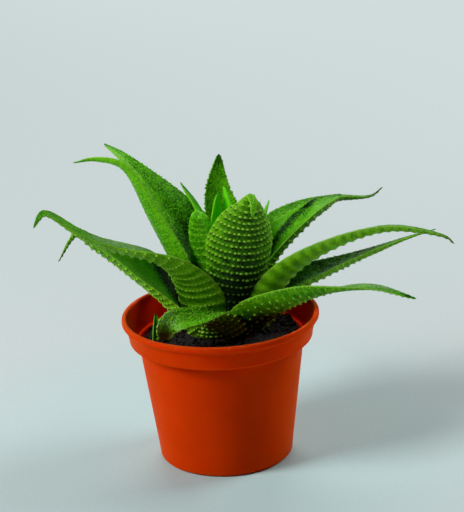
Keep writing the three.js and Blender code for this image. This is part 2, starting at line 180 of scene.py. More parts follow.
SHOOT_LEAF = dict(
    x=SHOOT_X, y=SHOOT_Y, tail=1.5, thickness=2.2, rows=7, ridge=0.1, pearl=0.3, grain=0.2,
    tooth=0.25, tooth_step=1.4, outer_tone=(0.75, 0.5, 0.45), inner_tone=(0.7, 0.5, 0.45),
)

# In some leaves' tone lists the low tones at the base are painted shade, where the other leaves shade
# them
LEAVES = {
    "leaf_heart_left": HEART_LEAF | dict(
        azimuth=125, width=13, spine=((2, 65), (4, 90), (4, 112), (2, 125))),
    "leaf_heart_right": HEART_LEAF | dict(
        azimuth=45, width=12, spine=((2, 65), (5, 90), (5, 112), (2, 128))),
    "leaf_inner_left": SMALL_LEAF | dict(
        azimuth=168, width=17.6, roll=(-2, -3), rows=20, core_shade=0.9,
        spine=((4, 63, 0), (5.2, 98, -1.4), (11.3, 119.1, 0.1), (18.3, 130.3, 0)),
        outer_tone=(0.5, 0.65, 0.5), inner_tone=(0.5, 0.7, 0.45)),
    "leaf_inner_curled": SMALL_LEAF | dict(
        azimuth=200, width=24, base_width=0.35, taper=0.9, fold=(110, 60), roll=(0, 35, 35),
        spine=((3, 63, 0), (8, 84, 0), (10.5, 100, 0), (12, 110, 0), (12, 117, 2), (8, 116, 5)),
        rows=18, core_shade=0.9, outer_tone=(0.1, 0.3, 0.5), inner_tone=(0.3, 0.4, 0.6)),
    "leaf_inner_right": SMALL_LEAF | dict(
        azimuth=10, width=13, rows=18, core_shade=0.9, spine=((4, 63), (13, 96), (19, 113), (22, 120))),
    "leaf_front_upright": dict(
        azimuth=278, width=34.6, widest=0.5, base_width=0.45, fold=(150, 90), tail=5, shoulder=1.8,
        taper=1, tail_start=0.85, tip=1.5,
        spine=((4, 61, 0), (7, 82, 2.9), (9.9, 100.8, 6.2), (12.9, 113.8, 8), (15.7, 122.6, 9.8),
               (17.6, 128.6, 10.5), (21.7, 126.4, 11.3), (24, 120.5, 10.2)),
        rows=26, ridge=0.25, pearl=1.05, pearl_step=1.75, tooth=0.3, beak=1.6,
        outer_tone=(0.05, 0.15, 0.25, 0.42, 0.75), inner_tone=(0.4, 0.6, 0.9), banding=(0.3, 0.3),
        edge_glow=0.5, channel=((0, 0), 0.16, 0.16, 0), halves=(-0.1, 0.1), core_shade=0.75,
        tip_dark=0, fleck=0.25, tail_fleck=0.2),
    "leaf_back_upright": dict(
        azimuth=90, width=32, tail=3.6, taper=1.1, fold=(90, 40),
        spine=((6, 61, 0), (9.9, 90.4, -5.1), (14.3, 121.1, 1.2), (13.7, 139.5, 0)), rows=26, tooth=0.8,
        outer_tone=(0.4, 0.5, 0.5), inner_tone=(0.6, 0.7, 0.6), core_shade=0.9, warm=(1, 0.5)),
    "leaf_right_back": dict(
        azimuth=57, width=20.3, tail=4.9, roll=(-3, 12),
        spine=((8, 60, 0), (24.1, 83.1, 0.1), (44.9, 96.7, 0.7), (66, 100.6, -3.7),
               (89.3, 100.2, -11.2))),
    "leaf_upper_left_back": dict(
        azimuth=130, width=28.6, tail=2.9, widest=0.35, taper=1.9, fold=(110, 50), roll=(10, -19, -5),
        spine=((8, 60, 0), (16, 87.8, -0.7), (32.7, 111.5, 3.4), (66, 129.5, 2.5), (86.9, 131.7, -1.5)),
        rows=36, outer_tone=(0.4, 0.5, 0.6, 0.8), inner_tone=(-0.2, 0, 0.3, 0.55, 0.65, 0.8, 0.9),
        halves=(-0.2, 0.05), core_shade=0.9),
    "leaf_upper_left_front": dict(
        azimuth=170, width=25, tail=2.5, widest=0.35, taper=1.6, roll=(6, 23, 28),
        spine=((8, 60, 0), (15.7, 85.1, 0.7), (30.6, 114.5, -0.6), (43.2, 138.4, 0.6), (56, 141.4, -0.1),
               (66.7, 139.5, 0.8)),
        rows=38, ridge=0.12, pearl=0.3, outer_tone=(0.4, 0.55, 0.7, 0.95),
        inner_tone=(0.4, 0.5, 0.6, 0.9), banding=(0.04, 0.04), core_shade=0.4, fleck=1,
        warm=(0.4, 0.3)),
    "leaf_right_upturned": dict(
        azimuth=28, width=28.7, tail=1.5, widest=0.26, taper=1.6, roll=(2, -7),
        spine=((7, 60, 0), (19.4, 87.4, 2.8), (44.9, 110.3, -5.3), (64, 109.8, 5.4), (79.8, 108.9, 0.3),
               (85.1, 112.3, -1.1)),
        rows=34, outer_tone=(0.4, 0.5, 0.35, 0.1), inner_tone=(0.35, 0.5, 0.65, 0.45, 0.1),
        channel=((-0.3, -0.3, -0.2, 0.07, 0.45, 0.76, 0.95, 1.3, 1.7, 2, 2), 0.4, 0.06, 0.85),
        halves=(0.15, 0.45), bloom=(1, 0.3, 0.7, 1, 0.4)),
    "leaf_left_long": dict(
        azimuth=208, width=27.9, base_width=0.8, tail=4.5, taper=1.4, tip=2.8, fold=(95, 20),
        roll=(35, 14, -5, -38),
        spine=((10, 58, 0), (15.9, 84.3, -0.5), (30.3, 101.2, 4.2), (56.3, 112.6, -2),
               (70.2, 121.4, 1.8), (86.1, 133.1, 0.6), (91, 127.1, 0.1)),
        rows=29, ridge=0.45, pearl=0.9, pearl_step=1.7, tooth=0.25,
        outer_tone=(0.45, 0.57, 0.6, 0.68, 0.8), inner_tone=(0.35, 0.45, 0.5, 0.7),
        banding=(0.5, 0.5, 0.35, 0.05, 0, 0), bloom=(-1, 0.1, 0.4, 0.75, 1)),
    "leaf_right_long": dict(
        azimuth=350, width=21.8, tail=3.2, taper=1.7, fold=(130, 60), roll=(-32, -22, -7),
        spine=((10, 58, 0), (26.2, 87.3, 0.6), (51.8, 103.8, -0.3), (76.3, 110.1, 0.1),
               (100.4, 105.4, 0.3), (103.9, 102.3, -0.4)),
        rows=26, ridge=0.6, pearl=0.4, tooth=0.3, outer_tone=(0.55, 0.78, 0.85, 0.74, 0.4),
        inner_tone=(0.3, 0.35, 0.4, 0.4), banding=(0.5, 0.5, 0.4, 0.15, 0.05),
        bloom=(-1, 0.8, 0.32, 0.95, 0.6)),
    "leaf_left_hooked": dict(
        azimuth=184, width=40.3, tail=2.2, taper=1.84, fold=(100, 40), roll=(-6, -8, 17),
        spine=((9, 58, 0), (22.4, 75.5, -4.5), (42, 94.2, 0.8), (57.8, 107, 3.6), (65.5, 111.4, -0.3),
               (74.6, 97, -4)),
        ridge=0.5, outer_tone=(0.55, 0.7, 0.5, 0.2), inner_tone=(0.6, 0.85, 0.95, 0.7, 0.25),
        channel=((-0.1, -0.1, -0.3, -0.7, -1.2, -1.5, -1.5, -1.5, -1.5, -1.5, -1.5), 0.3, 0.3, 1.1)),
    "leaf_right_lower": dict(
        azimuth=17, width=25.4, tail=2.3, taper=2.4, fold=(130, 60), roll=(28, -20),
        spine=((10, 57, 0), (27.4, 74, 4.5), (48.5, 82.3, 0.1), (88, 91.3, -0.5), (103.4, 93.7, -1.2)),
        rows=34, grain=0.9, outer_tone=(0.5, 0.65, 0.6, 0.5), inner_tone=(0.1, 0.2, 0.25, 0.3),
        bloom=(1, 0.3, 0.3, 0.9, 0.6)),
    "leaf_front_right_low": dict(
        azimuth=327, width=20.2, base_width=0.9, tail=2.2, taper=1.88, fold=(15, 34),
        roll=(-42, -41, 45),
        spine=((8, 59, -3), (13.9, 69.2, -3.2), (39.9, 84.5, -3.9), (75.8, 93.5, -1.9),
               (97.1, 90.3, 0.2)),
        ridge=0.15, pearl=1.2, pearl_step=3, pearl_pale=0.4, outer_tone=(0.3, 0.5, 0.45, 0.55, 0.55),
        inner_tone=(0.4, 0.5, 0.5), low_shade=0.8, warm=(0.6, 0.3), bloom=(1, -0.4, 0.55, 0.95, 0.9)),
    "leaf_front_left_low": dict(
        azimuth=225, width=10.9, widest=0.69, base_width=0.35, tail=8.8, fold=(57, 70),
        roll=(-62, 0, -32, -55),
        spine=((4.2, 58, 4.2), (6.9, 71.4, 6.5), (17.7, 75, 7.6), (23.3, 75.2, 6.8), (36, 74.2, 0.9),
               (36.3, 65.4, -3.7)),
        rows=22, grain=1.8, grain_size=1.7, outer_tone=(0.2, 0.4, 0.7),
        inner_tone=(0.3, 0.45, 0.65, 0.9, 1.5), tip_dark=0, tip_pale=0.35, bloom=(1, -2, 0.7, 1.2, 0.8)),
    "leaf_front_middle_low": dict(
        azimuth=264, width=29.2, widest=0.5, base_width=0.9, tail=8, fold=(60, 80), roll=(-7, 4, 7),
        spine=((2.2, 59.7, 0), (8, 62, -1.5), (15.2, 70, -4), (19.8, 74.8, -6.1)),
        rows=9, ridge=0.5, pearl=1.2, tooth=0.3, outer_tone=(0.2, 0.55, 0.75), warm=(0.2, 0.2)),
    "leaf_back_low_right": dict(
        azimuth=56, width=21, spine=((10, 57), (28, 70), (48, 75), (64, 70)), rows=20),
    "leaf_back_low_middle": dict(
        azimuth=96, width=22, spine=((10, 57), (28, 70), (47, 74), (62, 69)), rows=20),
    "leaf_back_low_left": dict(
        azimuth=138, width=21, spine=((10, 57), (28, 70), (43, 74), (54, 71)), rows=18),
}

SHOOT_BLADES = (
    SHOOT_LEAF | dict(azimuth=100, width=4.5, spine=((0.5, 53.5), (1, 60), (0.6, 66), (1.2, 70.5))),
    SHOOT_LEAF | dict(azimuth=300, width=4.0, spine=((0, 54), (0.5, 57), (2.5, 60), (5, 61.5))),
)

# Colours beside those of the settings: what leaf skin is multiplied by where it isn't warm, root fibres,
# the pot's inside, a deeper red that is painted shade, lip, worn spots and dust, what the floor near the
# pot is multiplied by, a painted cool tint against the red light the pot throws on it, and the
# surroundings
PURE_GREEN = (0.62, 1, 0.8)
FIBRE_COLOUR = (0.16, 0.05, 0.02)
POT_INSIDE_SHADE = (0.6, 0.012, 0.0003)
POT_LIP = (0.5, 0.09, 0.012)
POT_WORN = (0.62, 0.3, 0.16)
POT_DUST = (0.8, 0.2, 0.03)
RED_BOUNCE_CANCEL = (0.82, 1.02, 1.02)
SURROUNDINGS = (0.8, 0.87, 0.88, 1)

# Camera: the view that fits the photograph's pot and leaf tips
FOCAL_PIXELS = 2000.0
FRAME_LONG_SIDE = 512.0
SENSOR = 36.0
CAMERA_DISTANCE = 0.9031
CAMERA_ELEVATION = 19.25
CAMERA_ROLL = -2.79
CAMERA_TARGET = (0.0067, 0.0, 0.0953)


# Arrays and meshes

def unit(vectors):
    """Vectors scaled to length one; a vector of no length stays as it is."""
    length = np.linalg.norm(vectors, axis=-1, keepdims=True)
    return vectors / np.where(length > 1e-12, length, 1)


def smoothstep(x):
    """0 below 0, 1 above 1, and 3x^2 - 2x^3 between."""
    x = np.clip(x, 0, 1)
    return x * x * (3 - 2 * x)


def circle(count):
    """Angles of even steps round a full turn."""
    return np.linspace(0, 2 * math.pi, count, endpoint=False)


def polar(radius, turn, height):
    """Points at a radius, a turn and a height, each a number or an array, whose shapes fit together."""
    return np.stack(np.broadcast_arrays(radius * np.cos(turn), radius * np.sin(turn), height), -1)


def ripple(points, size, seed, octaves):
    """Smooth noise of about -1 to 1: sine waves in random directions, each octave half as long and half
    as strong as the one before. size is the longest wave, in the points' own unit."""
    rng = np.random.default_rng(seed)
    total = np.zeros(points.shape[:-1])
    for octave in range(octaves):
        for direction in unit(rng.normal(size=(5, 3))):
            wave = 2 * math.pi * 2**octave / size
            total += np.sin(points @ direction * wave + rng.uniform(0, 2 * math.pi)) / 2**octave
    return total / 4


def part(points, faces, **values):
    """One closed shell: its points, its faces as rows of four with -1 in a triangle's last place, and a
    value for each point under every name."""
    count = len(points)
    return dict(points=points, faces=faces,
                values={key: np.broadcast_to(value, count) for key, value in values.items()})


def ring_faces(rings, count):
    """Quads between successive closed rings of count points each."""
    ring, j = np.meshgrid(np.arange(rings - 1), np.arange(count), indexing="ij")
    k = (j + 1) % count
    a, b = ring * count, (ring + 1) * count
    return np.stack((a + j, a + k, b + k, b + j), -1).reshape(-1, 4)


def fan_faces(first, count, pole, flip):
    """Triangles from a closed ring to a pole point."""
    j = first + np.arange(count)
    k = first + (np.arange(count) + 1) % count
    a, b = (k, j) if flip else (j, k)
    return np.stack((np.full(count, pole), a, b, np.full(count, -1)), -1)


def tube(rings, low_pole, high_pole):
    """Points and faces of a closed tube that faces outward: rings of shape (n, m, 3), closed by a pole
    at each end."""
    count, around = rings.shape[:2]
    points = np.concatenate((rings.reshape(-1, 3), [low_pole], [high_pole]))
    faces = np.concatenate((
        ring_faces(count, around),
        fan_faces(0, around, count * around, True),
        fan_faces((count - 1) * around, around, count * around + 1, False),
    ))
    return points, facing_out(points, faces)


def facing_out(points, faces):
    """The faces, turned over where the shell's volume comes out negative."""
    a, b, c = points[faces[:, 0]], points[faces[:, 1]], points[faces[:, 2]]
    d = points[np.where(faces[:, 3] < 0, faces[:, 0], faces[:, 3])]
    volume = np.einsum("ij,ij->", a, np.cross(b, c)) + np.einsum("ij,ij->", a, np.cross(c, d))
    if volume >= 0:
        return faces
    turned = faces.copy()
    turned[:, :3] = faces[:, 2::-1]
    quads = faces[:, 3] >= 0
    turned[quads] = faces[quads][:, ::-1]
    return turned


def bead_shape(sides, levels):
    """A unit bead with its top at z = 1: rings at even steps of polar angle down to its foot."""
    down = np.linspace(0, 0.62 * math.pi, levels + 1)[1:, None]
    return tube(polar(np.sin(down), circle(sides), np.cos(down)), (0, 0, 1), (0, 0, -0.7))


def beads(places, along, across, normals, sizes, shape, **values):
    """Copies of a bead shape, each on its place with its own three axes. sizes holds the half-length
    along, the half-width across and the height of each."""
    unit_points, unit_faces = shape
    scaled = sizes[:, None, :] * unit_points[None]
    points = (places[:, None] + scaled[..., :1] * along[:, None] + scaled[..., 1:2] * across[:, None]
              + scaled[..., 2:] * normals[:, None])
    offsets = (np.arange(len(places)) * len(unit_points))[:, None, None]
    faces = np.where(unit_faces[None] < 0, -1, unit_faces[None] + offsets).reshape(-1, 4)
    spread = {key: np.repeat(np.broadcast_to(value, len(places)), len(unit_points))
              for key, value in values.items()}
    return part(points.reshape(-1, 3), faces, **spread)


def make_piece(name, parts, material, slot, node):
    """Puts the parts into one smooth mesh object, in metres, which rides on the root body and stands
    for the model's node."""
    starts = np.cumsum([0] + [len(p["points"]) for p in parts])
    points = np.concatenate([p["points"] for p in parts]) * MM
    faces = np.concatenate([np.where(p["faces"] < 0, -1, p["faces"] + start)
                            for p, start in zip(parts, starts)])
    used = faces >= 0
    mesh = bpy.data.meshes.new(name)
    mesh.vertices.add(len(points))
    mesh.vertices.foreach_set("co", points.astype(np.float32).ravel())
    mesh.loops.add(int(used.sum()))
    mesh.loops.foreach_set("vertex_index", faces[used].astype(np.int32))
    mesh.polygons.add(len(faces))
    ends = np.cumsum(used.sum(1))
    mesh.polygons.foreach_set("loop_start", np.concatenate(([0], ends[:-1])).astype(np.int32))
    mesh.update(calc_edges=True)
    mesh.shade_smooth()
    for key in parts[0]["values"]:
        attribute = mesh.attributes.new(key, "FLOAT", "POINT")
        values = np.concatenate([p["values"][key] for p in parts])
        attribute.data.foreach_set("value", values.astype(np.float32))
    mesh.materials.append(material)
    made = bpy.data.objects.new(name, mesh)
    bpy.context.scene.collection.objects.link(made)
    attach(made, "root")
    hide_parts(node)
    return made


# Leaves

def catmull_rom(knots, steps=60):
    """Centripetal Catmull-Rom curve: each span is a cubic whose end slopes come from the neighbouring
    knots, weighted by the square roots of the distances between them."""
    knots = np.asarray(knots, float)
    row = np.vstack((2 * knots[0] - knots[1], knots, 2 * knots[-1] - knots[-2]))
    a, b, c, d = row[:-3], row[1:-2], row[2:-1], row[3:]
    first, middle, last = (np.sqrt(np.linalg.norm(q - p, axis=1))[:, None]
                           for p, q in ((a, b), (b, c), (c, d)))
    leaving = ((b - a) / first - (c - a) / (first + middle) + (c - b) / middle) * middle
    arriving = ((c - b) / middle - (d - b) / (middle + last) + (d - c) / last) * middle
    s = np.linspace(0, 1, steps, endpoint=False)[None, :, None]
    b, c, leaving, arriving = (x[:, None] for x in (b, c, leaving, arriving))
    spans = (b + leaving * s + (3 * (c - b) - 2 * leaving - arriving) * s**2
             + (2 * (b - c) + leaving + arriving) * s**3)
    return np.vstack((spans.reshape(-1, 3), knots[-1:]))


def even_line(line, count):
    """A line's points read again at even steps of its length."""
    run = np.concatenate(([0], np.cumsum(np.linalg.norm(np.diff(line, axis=0), axis=1))))
    even = np.linspace(0, run[-1], count)
    return np.stack([np.interp(even, run, line[:, k]) for k in range(3)], 1), run[-1]


def grow_leaf(spec):
    """Fills in a leaf's usual values and works out its spine, side and inward vectors, and length."""
    leaf = USUAL_LEAF | spec
    angle = math.radians(leaf["azimuth"])
    out = np.array((math.cos(angle), math.sin(angle), 0))
    sideways = np.array((-math.sin(angle), math.cos(angle), 0))
    knots = np.array([(tuple(p) + (0,))[:3] for p in leaf["spine"]], float)
    foot = np.array((leaf["x"], leaf["y"], 0))
    points = foot + knots[:, :1] * out + knots[:, 1:2] * (0, 0, 1) + knots[:, 2:] * sideways
    place, length = even_line(catmull_rom(points), SPINE_STEPS + 1)
    tangent = unit(np.gradient(place, axis=0))
    side = unit(sideways - (tangent @ sideways)[:, None] * tangent)
    inward = np.cross(tangent, side)
    t = np.linspace(0, 1, SPINE_STEPS + 1)
    turn = np.radians(np.interp(t, np.linspace(0, 1, len(leaf["roll"])), leaf["roll"]))[:, None]
    leaf["place"] = place
    leaf["side"] = side * np.cos(turn) + inward * np.sin(turn)
    leaf["inward"] = inward * np.cos(turn) - side * np.sin(turn)
    leaf["length"] = length
    return leaf


def read_table(table, t):
    """Rows of a table of even steps, read between its rows at t from 0 to 1."""
    x = np.clip(t, 0, 1) * (len(table) - 1)
    low = np.minimum(x.astype(int), len(table) - 2)
    share = (x - low)[..., None]
    return table[low] * (1 - share) + table[low + 1] * share


def leaf_width(leaf, t):
    """Width round the channel: a quarter sine up to the widest place, then a blade that tapers into a
    narrow tail, which closes at the very tip."""
    widest, width = leaf["widest"], leaf["width"]
    rise = leaf["base_width"] + (1 - leaf["base_width"]) * np.sin(
        math.pi / 2 * np.minimum(t / widest, 1))
    blade = np.clip((t - widest) / (leaf["tail_start"] - widest), 0, 1)
    tail = np.clip((t - widest) / (1 - widest), 0, 1)
    fall = ((width - leaf["tail"]) * (1 - blade**leaf["shoulder"]) ** leaf["taper"]
            + leaf["tail"] * np.sqrt(np.maximum(0, 1 - tail ** leaf["tip"])))
    return np.where(t < widest, width * rise, fall)


def leaf_points(leaf, t, v, depth, reach=0.0):
    """Points of a leaf. t runs along it, v from -1 to 1 across it, depth is measured outward from the
    inner face, an arc of the channel's opening angle, and reach runs on past the margin."""
    t, v, depth, reach = np.broadcast_arrays(*(np.asarray(x, float) for x in (t, v, depth, reach)))
    opening = np.radians(leaf["fold"][0] + (leaf["fold"][1] - leaf["fold"][0]) * t**FOLD_POWER)
    radius = leaf_width(leaf, t) / opening
    lift = SPINE_DEPTH * radius * (1 - np.cos(opening / 2))
    angle = v * opening / 2
    reach = np.sign(v) * reach
    x = (radius + depth) * np.sin(angle) + reach * np.cos(angle)
    y = radius - (radius + depth) * np.cos(angle) - lift + reach * np.sin(angle)
    return (read_table(leaf["place"], t) + x[..., None] * read_table(leaf["side"], t)
            + y[..., None] * read_table(leaf["inward"], t))


def crowded(s):
    """Place along the leaf of an even step s: steps are closer together towards the tip."""
    return s * (1 + CROWDING * (1 - s))


def even_step(t):
    """The even step that crowded() puts at t."""
    return ((1 + CROWDING) - np.sqrt((1 + CROWDING) ** 2 - 4 * CROWDING * t)) / (2 * CROWDING)


def leaf_relief(leaf, t):
    """Share of their size that ridges, pearls, teeth and grains have at t: 1 on a broad blade, and less
    on a narrow one, in step with its width, but never under LEAST_RELIEF."""
    return np.clip(leaf_width(leaf, t) / FULL_RELIEF_WIDTH, LEAST_RELIEF, 1)


def ridge_crest(leaf, t):
    """1 on a cross ridge and 0 in the valley between two."""
    return (0.5 - 0.5 * np.cos(2 * math.pi * leaf["rows"] * even_step(t))) ** 1.4


def margin_edge(leaf, t):
    """Thickness at the margin."""
    return np.minimum(MARGIN_THICKNESS, EDGE_LIMIT * leaf_width(leaf, t))


def margin_swell(leaf, t):
    """How far the margin swells outward where a cross ridge meets it."""
    return MARGIN_SWELL * leaf["tooth"] * ridge_crest(leaf, t) * leaf_relief(leaf, t)


def outer_depth(leaf, t, v):
    """Depth of the outer face: the thickness, greatest on the keel, with the cross ridges on it."""
    keel = np.minimum(leaf["thickness"] * (1 - THINNING * t), KEEL_LIMIT * leaf_width(leaf, t))
    edge = margin_edge(leaf, t)
    body = edge + (keel - edge) * (1 - np.abs(v) ** KEEL_POWER)
    return body + leaf["ridge"] * ridge_crest(leaf, t) * leaf_relief(leaf, t) * (1 - np.abs(v) ** 6)


def outer_axes(leaf, t, v):
    """Place and the along, across and outward axes of the outer face at t and v."""
    place = leaf_points(leaf, t, v, outer_depth(leaf, t, v) - leaf["ridge"] * 0.1)
    below = leaf_points(leaf, t, v, 0)
    along = unit(leaf_points(leaf, t + NUDGE, v, 0) - below)
    across = unit(leaf_points(leaf, t, v + NUDGE, 0) - below)
    normal = unit(np.cross(across, along))
    normal *= np.sign(np.einsum("ij,ij->i", normal, place - below))[:, None]
    return place, along, across, normal


def leaf_body(leaf, seed):
    """The leaf itself: a ring of outer columns, a margin line, inner columns and the other margin line
    at each step along it, closed by a pole at the base and one at the tip."""
    t = crowded(np.linspace(0, 1, leaf["rows"] * RINGS_PER_ROW, endpoint=False))[:, None]
    out_v = np.linspace(-1, 1, OUTER_COLUMNS + 1)[None]
    in_v = np.linspace(1, -1, INNER_COLUMNS + 1)[None]
    flat = np.stack(np.broadcast_arrays(t * leaf["length"], in_v * leaf["width"] / 2, 0 * t), -1)
    grain = ripple(flat, 5, seed, 2)
    bulge = leaf["beak"] * (1 - in_v**2) * smoothstep((t - BEAK_START) / BEAK_RUN) * (1 - t**8)
    relief, swell = leaf_relief(leaf, t), margin_swell(leaf, t)
    outer = leaf_points(leaf, t, out_v, outer_depth(leaf, t, out_v), np.where(abs(out_v) == 1, swell, 0))
    inner = leaf_points(leaf, t, in_v, -GRAIN_RELIEF * grain * leaf["grain"] * relief - bulge,
                        np.where(abs(in_v) == 1, swell, 0))
    rims = [leaf_points(leaf, t, v, margin_edge(leaf, t) / 2, swell + RIM_REACH * relief)
            for v in (1, -1)]
    rings = np.concatenate((outer, rims[0], inner, rims[1]), 1)
    points, faces = tube(rings, leaf["place"][0], leaf["place"][-1])
    values = body_values(leaf, t, out_v, in_v, grain)
    return part(points, faces, **{key: with_poles(value) for key, value in values.items()})


def body_values(leaf, t, out_v, in_v, grain):
    """What the leaf's own shell carries at each point of its rings. Ridges and margins are lighter than
    the valleys, the inner face has painted shade along its fold and the grain's light and dark, and the
    tip is darker.
    Margins are pale, and the tail has a speckle of its own."""
    def rings(outer, rim, inner):
        blocks = ((outer, out_v.size), (rim, 1), (inner, in_v.size), (rim, 1))
        return np.concatenate([np.broadcast_to(value, (len(t), count)) for value, count in blocks], 1)

    outer_tone = tone_along(leaf["outer_tone"], t)
    bands = tone_along(leaf["banding"], t) * (ridge_crest(leaf, t) - 0.5)
    # edge_glow: margins lighter than the keel, partly the skin's own paler edge and partly painted
    # shading across the rounded face
    tone = rings(outer_tone + bands + leaf["edge_glow"] * np.abs(out_v) ** 2, outer_tone + 0.2,
                 tone_along(leaf["inner_tone"], t) + 0.05 * grain + channel_shade_tone(leaf, t, in_v))
    pale = rings(np.where(abs(out_v) == 1, 0.15, 0), 0.5, leaf["tip_pale"] * smoothstep(t / 0.4 - 1.4))
    fleck = leaf["fleck"] + (leaf["tail_fleck"] - leaf["fleck"]) * smoothstep((t - 0.5) / 0.2)
    warm_outside, warm_inside = leaf["warm"]
    # A strip of painted grey glare along one margin of the leaf
    side, edge_v, start, stop, amount = leaf["bloom"]
    bloom = (amount * smoothstep((side * rings(out_v, 0, in_v) - edge_v) / 0.25)
             * smoothstep((t - start) / 0.1) * smoothstep((stop - t) / 0.1))
    return dict(tone=tone - leaf["tip_dark"] * smoothstep((t - 0.9) / 0.08), pale=pale,
                speckle=rings(fleck, fleck, leaf["grain"]),
                warm=rings(warm_outside, warm_outside, warm_inside), bloom=bloom)


def channel_shade_tone(leaf, t, v):
    """Change of tone across the inner face: painted shade along a line of v, which falls off as a bell
    curve of its own width on each side, and a change for each half."""
    centre, below, above, depth = leaf["channel"]
    away = v - tone_along(centre, t)
    # The second term is painted shade along the fold
    return (np.interp(away, (-HALF_BLUR, HALF_BLUR), leaf["halves"])
            - depth * np.exp(-((away / np.where(away < 0, below, above)) ** 2)))


def tone_along(tones, t):
    """Tone read along the leaf from its list."""
    return np.interp(t, np.linspace(0, 1, len(tones)), tones)


def with_poles(values):
    """Values of a tube's rings, followed by those of its two poles."""
    return np.concatenate((values.ravel(), [values[0].mean()], [values[-1].mean()]))


def leaf_beads(axes, size, shape, bead, tone, pale, warm):
    """Beads on a leaf, in smooth skin without painted glare. axes is place, along, across and outward.
    """
    return beads(*axes, size[:, None] * shape, bead, tone=tone, pale=pale, speckle=0, warm=warm, bloom=0)


def leaf_pearls(leaf, seed):
    """Pearls in rows along the crests of the ridges, as many as the width at each row has room for, and
    paler on lighter skin. A flat dark bead before each, on its side towards the base, is its painted
    shadow."""
    rng = np.random.default_rng(seed)
    rows = crowded((np.arange(1, leaf["rows"] - 1) + 0.5) / leaf["rows"])
    counts = np.maximum(2, np.round(0.93 * leaf_width(leaf, rows) / leaf["pearl_step"])).astype(int)
    t = np.repeat(rows, counts) + rng.normal(0, 0.0012, counts.sum())
    v = np.concatenate([np.linspace(-0.92, 0.92, n) for n in counts])
    v += rng.normal(0, 0.12, len(v)) / np.repeat(counts, counts)
    t, v = np.clip(t, 0, LAST_T), np.clip(v, -0.95, 0.95)
    place, along, across, normal = outer_axes(leaf, t, v)
    size = leaf_relief(leaf, t) * rng.uniform(0.75, 1.15, len(t)) * leaf["pearl"]
    tone = tone_along(leaf["outer_tone"], t)
    before = place - (PEARL_SHADOW_SHIFT * size)[:, None] * along
    pale = leaf["pearl_pale"] * rng.uniform(0.6, 1, len(t)) * np.clip(tone / 0.35, 0.1, 1)
    # Each pearl's painted shadow: a flat bead, darker than the skin, just before the pearl
    return [leaf_beads((before, along, across, normal), size, PEARL_SHADOW_SHAPE, bead_shape(6, 1),
                       tone - 0.3, 0, leaf["warm"][0]),
            leaf_beads((place, along, across, normal), size, PEARL_SHAPE, bead_shape(7, 2),
                       tone + 0.2, pale, 1)]


def leaf_teeth(leaf, seed):
    """Blunt teeth along both margins, each pointing outward from the blade."""
    rng = np.random.default_rng(seed)
    count = int(leaf["length"] / leaf["tooth_step"])
    t = (np.arange(count) + 0.5) / count
    t = np.clip(np.tile(t, 2) + rng.normal(0, 0.15 / count, 2 * count), 0.02, LAST_T)
    v = np.repeat((-1.0, 1.0), count)
    depth, reach = margin_edge(leaf, t) / 2, margin_swell(leaf, t)
    place = leaf_points(leaf, t, v, depth, reach)
    outward = unit(leaf_points(leaf, t, v, depth, reach + 1) - place)
    along = unit(leaf_points(leaf, t + NUDGE, v, depth, reach) - place)
    across = np.cross(outward, along)
    size = leaf_relief(leaf, t) * rng.uniform(0.7, 1.15, len(t)) * leaf["tooth"]
    return leaf_beads((place, along, across, outward), size, TOOTH_SHAPE, bead_shape(6, 2),
                      tone_along(leaf["outer_tone"], t), rng.uniform(0.3, 0.7, len(t)), leaf["warm"][0])


def leaf_grains(leaf, seed):
    """Low grains strewn over the inner face, as thickly everywhere, and less varied in the dark."""
    rng = np.random.default_rng(seed)
    fine = np.linspace(0.03, 0.97, 200)
    share = np.cumsum(leaf_width(leaf, fine))
    area = leaf["length"] * leaf_width(leaf, fine).mean()
    count = int(GRAINS_PER_AREA * area * leaf["grain"])
    t = np.interp(rng.uniform(0, share[-1], count), share, fine)
    v = rng.uniform(-0.94, 0.94, count)
    place = leaf_points(leaf, t, v, 0.05)
    along = unit(leaf_points(leaf, t + NUDGE, v, 0.05) - place)
    across = unit(leaf_points(leaf, t, v + NUDGE, 0.05) - place)
    normal = unit(leaf_points(leaf, t, v, -1) - place)
    size = leaf_relief(leaf, t) * rng.uniform(0.45, 1.15, count) * leaf["grain_size"]
    tone = tone_along(leaf["inner_tone"], t) + channel_shade_tone(leaf, t, v)
    pale = rng.uniform(-0.2, 0.5, count).clip(0) * np.clip(tone / 0.4, 0, 1)
    varied = tone + rng.uniform(-0.3, 0.6, count) * np.clip(tone / 0.3, 0.15, 1)
    return leaf_beads((place, along, across, normal), size, GRAIN_SHAPE, bead_shape(5, 1),
                      varied, pale, leaf["warm"][1])


def leaf_parts(spec, seed):
    """Every shell of one leaf, darker near the soil and deep between the other leaves."""
    leaf = grow_leaf(spec)
    shells = [leaf_body(leaf, seed), *leaf_pearls(leaf, seed + 1), leaf_teeth(leaf, seed + 2),
              leaf_grains(leaf, seed + 3)]
    for shell in shells:
        x, y, z = shell["points"].T
        low = smoothstep((LOW_SHADE_TOP - z) / LOW_SHADE_DEPTH)
        core = smoothstep((CORE_TOP - z) / CORE_DEPTH) * smoothstep(
            (CORE_RADIUS - np.hypot(x - STEM_X, y)) / CORE_FADE)
        drop = leaf["low_shade"] * low + leaf["core_shade"] * core
        values = shell["values"]
        values["tone"] = values["tone"] - drop
        values["pale"] = values["pale"] * (1 - 0.6 * np.minimum(drop, 1))
    return shells


# Pot and soil

def rounded(centre, radius, start, stop, count):
    """Points of an arc in the profile, from one angle to another in degrees."""
    angle = np.radians(np.linspace(start, stop, count))
    return np.stack((centre[0] + radius * np.cos(angle), centre[1] + radius * np.sin(angle)), 1)


